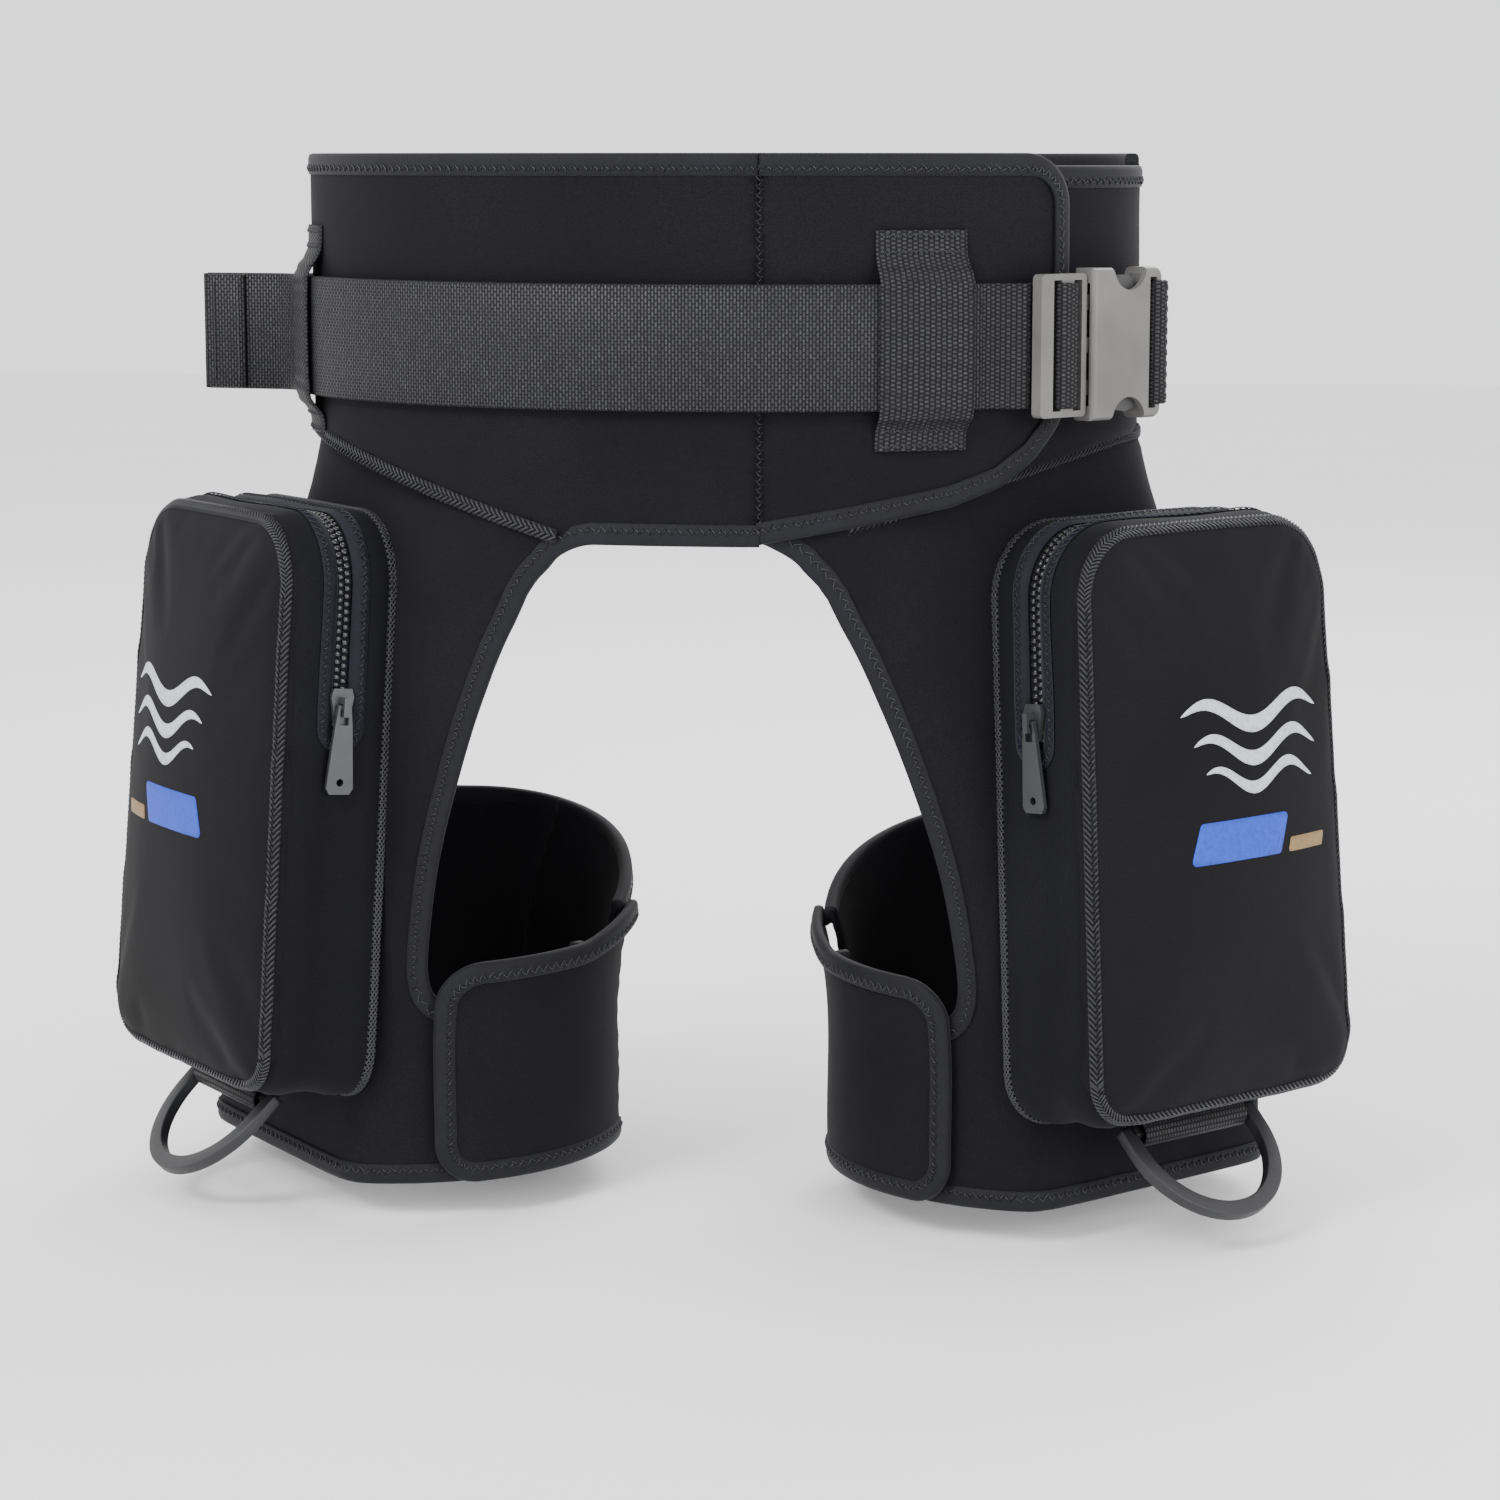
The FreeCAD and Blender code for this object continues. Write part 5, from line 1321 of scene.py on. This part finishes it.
def emblem(surface):
    """Generic screen print: three rolling waves over a slanted blue bar and a short tan one."""
    def band(centre, amplitude, length, thick_middle, left, phase):
        upper, lower = [], []
        for i in range(41):
            share = i / 40
            x = left + length * share
            y = centre + amplitude * math.sin(2 * math.pi * share * 1.5 + phase)
            thick = thick_middle * math.sin(math.pi * share) ** 0.6 + 0.15
            upper.append((x, y + thick))
            lower.append((x, y - thick))
        return upper + lower[::-1]

    def printed(name, outline, material, spacing):
        made = patch("right_print_" + name, outline, surface, 0.02, 0.16, material, spacing, soften=0.2)
        pair(made, "wrap", "pocket_neoprene")

    waves = [band(46, 5.0, 84, 3.4, -30, 0.2), band(32, 5.0, 76, 3.0, -24, 0.5),
             band(19.5, 4.5, 66, 2.5, -18, 0.8)]
    for number, outline in enumerate(waves):
        printed(f"wave_{number + 1}", outline, PRINT_GREY, 2.2)
    bar = [(-28, -14), (24, -14), (30, 3), (-22, 3)]
    printed("bar", rounded(bar, [2.0] * 4, 1.0), PRINT_BLUE, 2.4)
    dash = [(29, -14), (54, -14), (56, -8), (31, -8)]
    printed("dash", rounded(dash, [1.0] * 4, 1.0), PRINT_TAN, 2.2)


# -------------------- D-rings and hardware
def bar_section(wide, thick, edge):
    """Rectangle with small rounded corners."""
    section = []
    for x, y in ((1, 1), (-1, 1), (-1, -1), (1, -1)):
        base = math.atan2(y, x) - math.pi / 4
        for a in np.linspace(0, math.pi / 2, 4):
            section.append((x * (wide / 2 - edge) + edge * math.cos(base + a),
                            y * (thick / 2 - edge) + edge * math.sin(base + a)))
    return section


def d_rings():
    """Flat moulded ring with rounded edges, and the ribbed webbing that holds it under the pocket."""
    hinge = local(0, BASE_LOW - 7.5, 24.0)
    turn = math.radians(42)
    down = -UP * math.cos(turn) + NORMAL * math.sin(turn)
    flat_out = np.cross(ACROSS, -down)
    radius, drop, bar = 35.5, 9.0, 5.0
    path = [(-radius, -2.4), (-radius, drop)]
    path += [(-radius * math.cos(a), drop + radius * math.sin(a))
             for a in np.linspace(0.04, math.pi - 0.04, 48)]
    path += [(radius, drop), (radius, -2.4)]

    def flat_line(corners):
        shape = dense(corners, 2.0)
        points = hinge + np.outer(shape[:, 0], ACROSS) + np.outer(shape[:, 1], down)
        return Line(points, np.tile(flat_out, (len(points), 1)))

    ring = sweep("right_d_ring_moulded", flat_line(path), bar_section(7.0, bar, 0.6), RING)
    pair(ring, "SIDE_d_ring", "d_ring_plastic", "d_ring")
    top = sweep("right_d_ring_bar", flat_line([(-34, 0), (34, 0)]), bar_section(bar, bar, 0.7), RING)
    pair(top, "SIDE_d_ring", "d_ring_plastic")

    # The webbing comes out from under the pocket, goes round the ring's bar and back, sewn to the leg side.
    profile = [(4.9, 0.8), (4.9, 12), (3.0, 16.5), (-0.8, 18.2), (-4.4, 20.4), (-5.3, 24.0), (-4.4, 27.6),
               (-0.8, 29.6), (2.8, 28.6), (4.9, 26.4), (5.2, 22.0), (5.2, 14)]
    spots = np.array([local(0, BASE_LOW - 7.5 + y, n) for y, n in profile])
    line = curve_line(spots, 60, ACROSS)
    strap = sweep("right_d_ring_strap", line, strap_section(30, -0.7, 0.7, ribs=12), RIBBED)
    pair(strap, "wrap", "webbing", "d_ring_webbing")
    rows = []
    for n in (5.0, 7.5):
        rows.append([local(x, BASE_LOW - 2.6 - 0.7 - (0.3 if i % 2 else 0.0), n + (0.5 if i % 2 else -0.5))
                     for i, x in enumerate(np.linspace(-28, 28, 45))])
    pair(threads("right_d_ring_tacks", rows, 0.33, SEAM_THREAD, 4), "wrap", "webbing")


def curve_line(points, count, across):
    """Catmull-Rom line whose sideways direction is fixed."""
    line = smooth_line(points, count)
    return Line(line.points, np.cross(line.ahead, across))


def hardware():
    looks = {"buckle_female": BUCKLE, "buckle_male": BUCKLE, "buckle_prong_upper": DARK_PART,
             "buckle_prong_lower": DARK_PART}
    for side in ("right", "left"):
        looks[f"{side}_zip_slider"] = ZINC
        looks[f"{side}_zip_pull"] = ZINC
        looks[f"{side}_zip_end_stops"] = TEETH
    for node, material in looks.items():
        mesh = NODES[node].data
        mesh.materials.clear()
        mesh.materials.append(material)


# -------------------- stage
def studio():
    """Pale floor, white surroundings, soft lights and the camera."""
    mesh = bpy.data.meshes.new("floor")
    half, level = 6, -0.372
    corners = [(-half, -half, level), (half, -half, level), (half, half, level), (-half, half, level)]
    mesh.from_pydata(corners, [], [(0, 1, 2, 3)])
    look = Look("floor_pale", (0.93, 0.93, 0.93), 0.9, specular=0.1)
    look.colour(look.ramp(look.noise(3.0), (0.92, 0.92, 0.92), (0.95, 0.95, 0.95)))
    mesh.materials.append(look.material)
    floor = bpy.data.objects.new("floor", mesh)
    bpy.context.scene.collection.objects.link(floor)
    world = bpy.data.worlds.new("studio")
    world.use_nodes = True
    world.node_tree.nodes["Background"].inputs["Color"].default_value = (1.0, 1.0, 1.0, 1)
    world.node_tree.nodes["Background"].inputs["Strength"].default_value = 1.7
    bpy.context.scene.world = world
    for name, place, size, power in (("key", (-1.1, -1.7, 1.5), 0.8, 46), ("fill", (1.7, -1.3, 0.5), 1.0, 22),
                                     ("rim", (0.4, 1.6, 1.4), 1.2, 26)):
        light = bpy.data.lights.new(name, "AREA")
        light.size = size
        light.energy = power
        lamp = bpy.data.objects.new(name, light)
        lamp.location = place
        lamp.rotation_euler = (Vector((0, 0, -0.15)) - Vector(place)).to_track_quat("-Z", "Y").to_euler()
        bpy.context.scene.collection.objects.link(lamp)
    camera = bpy.data.cameras.new("camera")
    camera.lens, camera.sensor_width = 89.5, 36.0
    eye = bpy.data.objects.new("camera", camera)
    target, distance = Vector((0.012, 0, -0.180)), 1.620
    azimuth, elevation = math.radians(9), math.radians(9)
    level = math.cos(elevation)
    back = Vector((math.sin(azimuth) * level, -math.cos(azimuth) * level, math.sin(elevation)))
    eye.location = target + back * distance
    eye.rotation_euler = (-back).to_track_quat("-Z", "Y").to_euler()
    bpy.context.scene.collection.objects.link(eye)
    bpy.context.scene.camera = eye


studio()
wrap_panels()
wrap_bindings()
wrap_seams()
webbing()
belt_loops()
buckle_straps()
legs()
pocket_sides()
zips()
pocket_faces()
d_rings()
hardware()
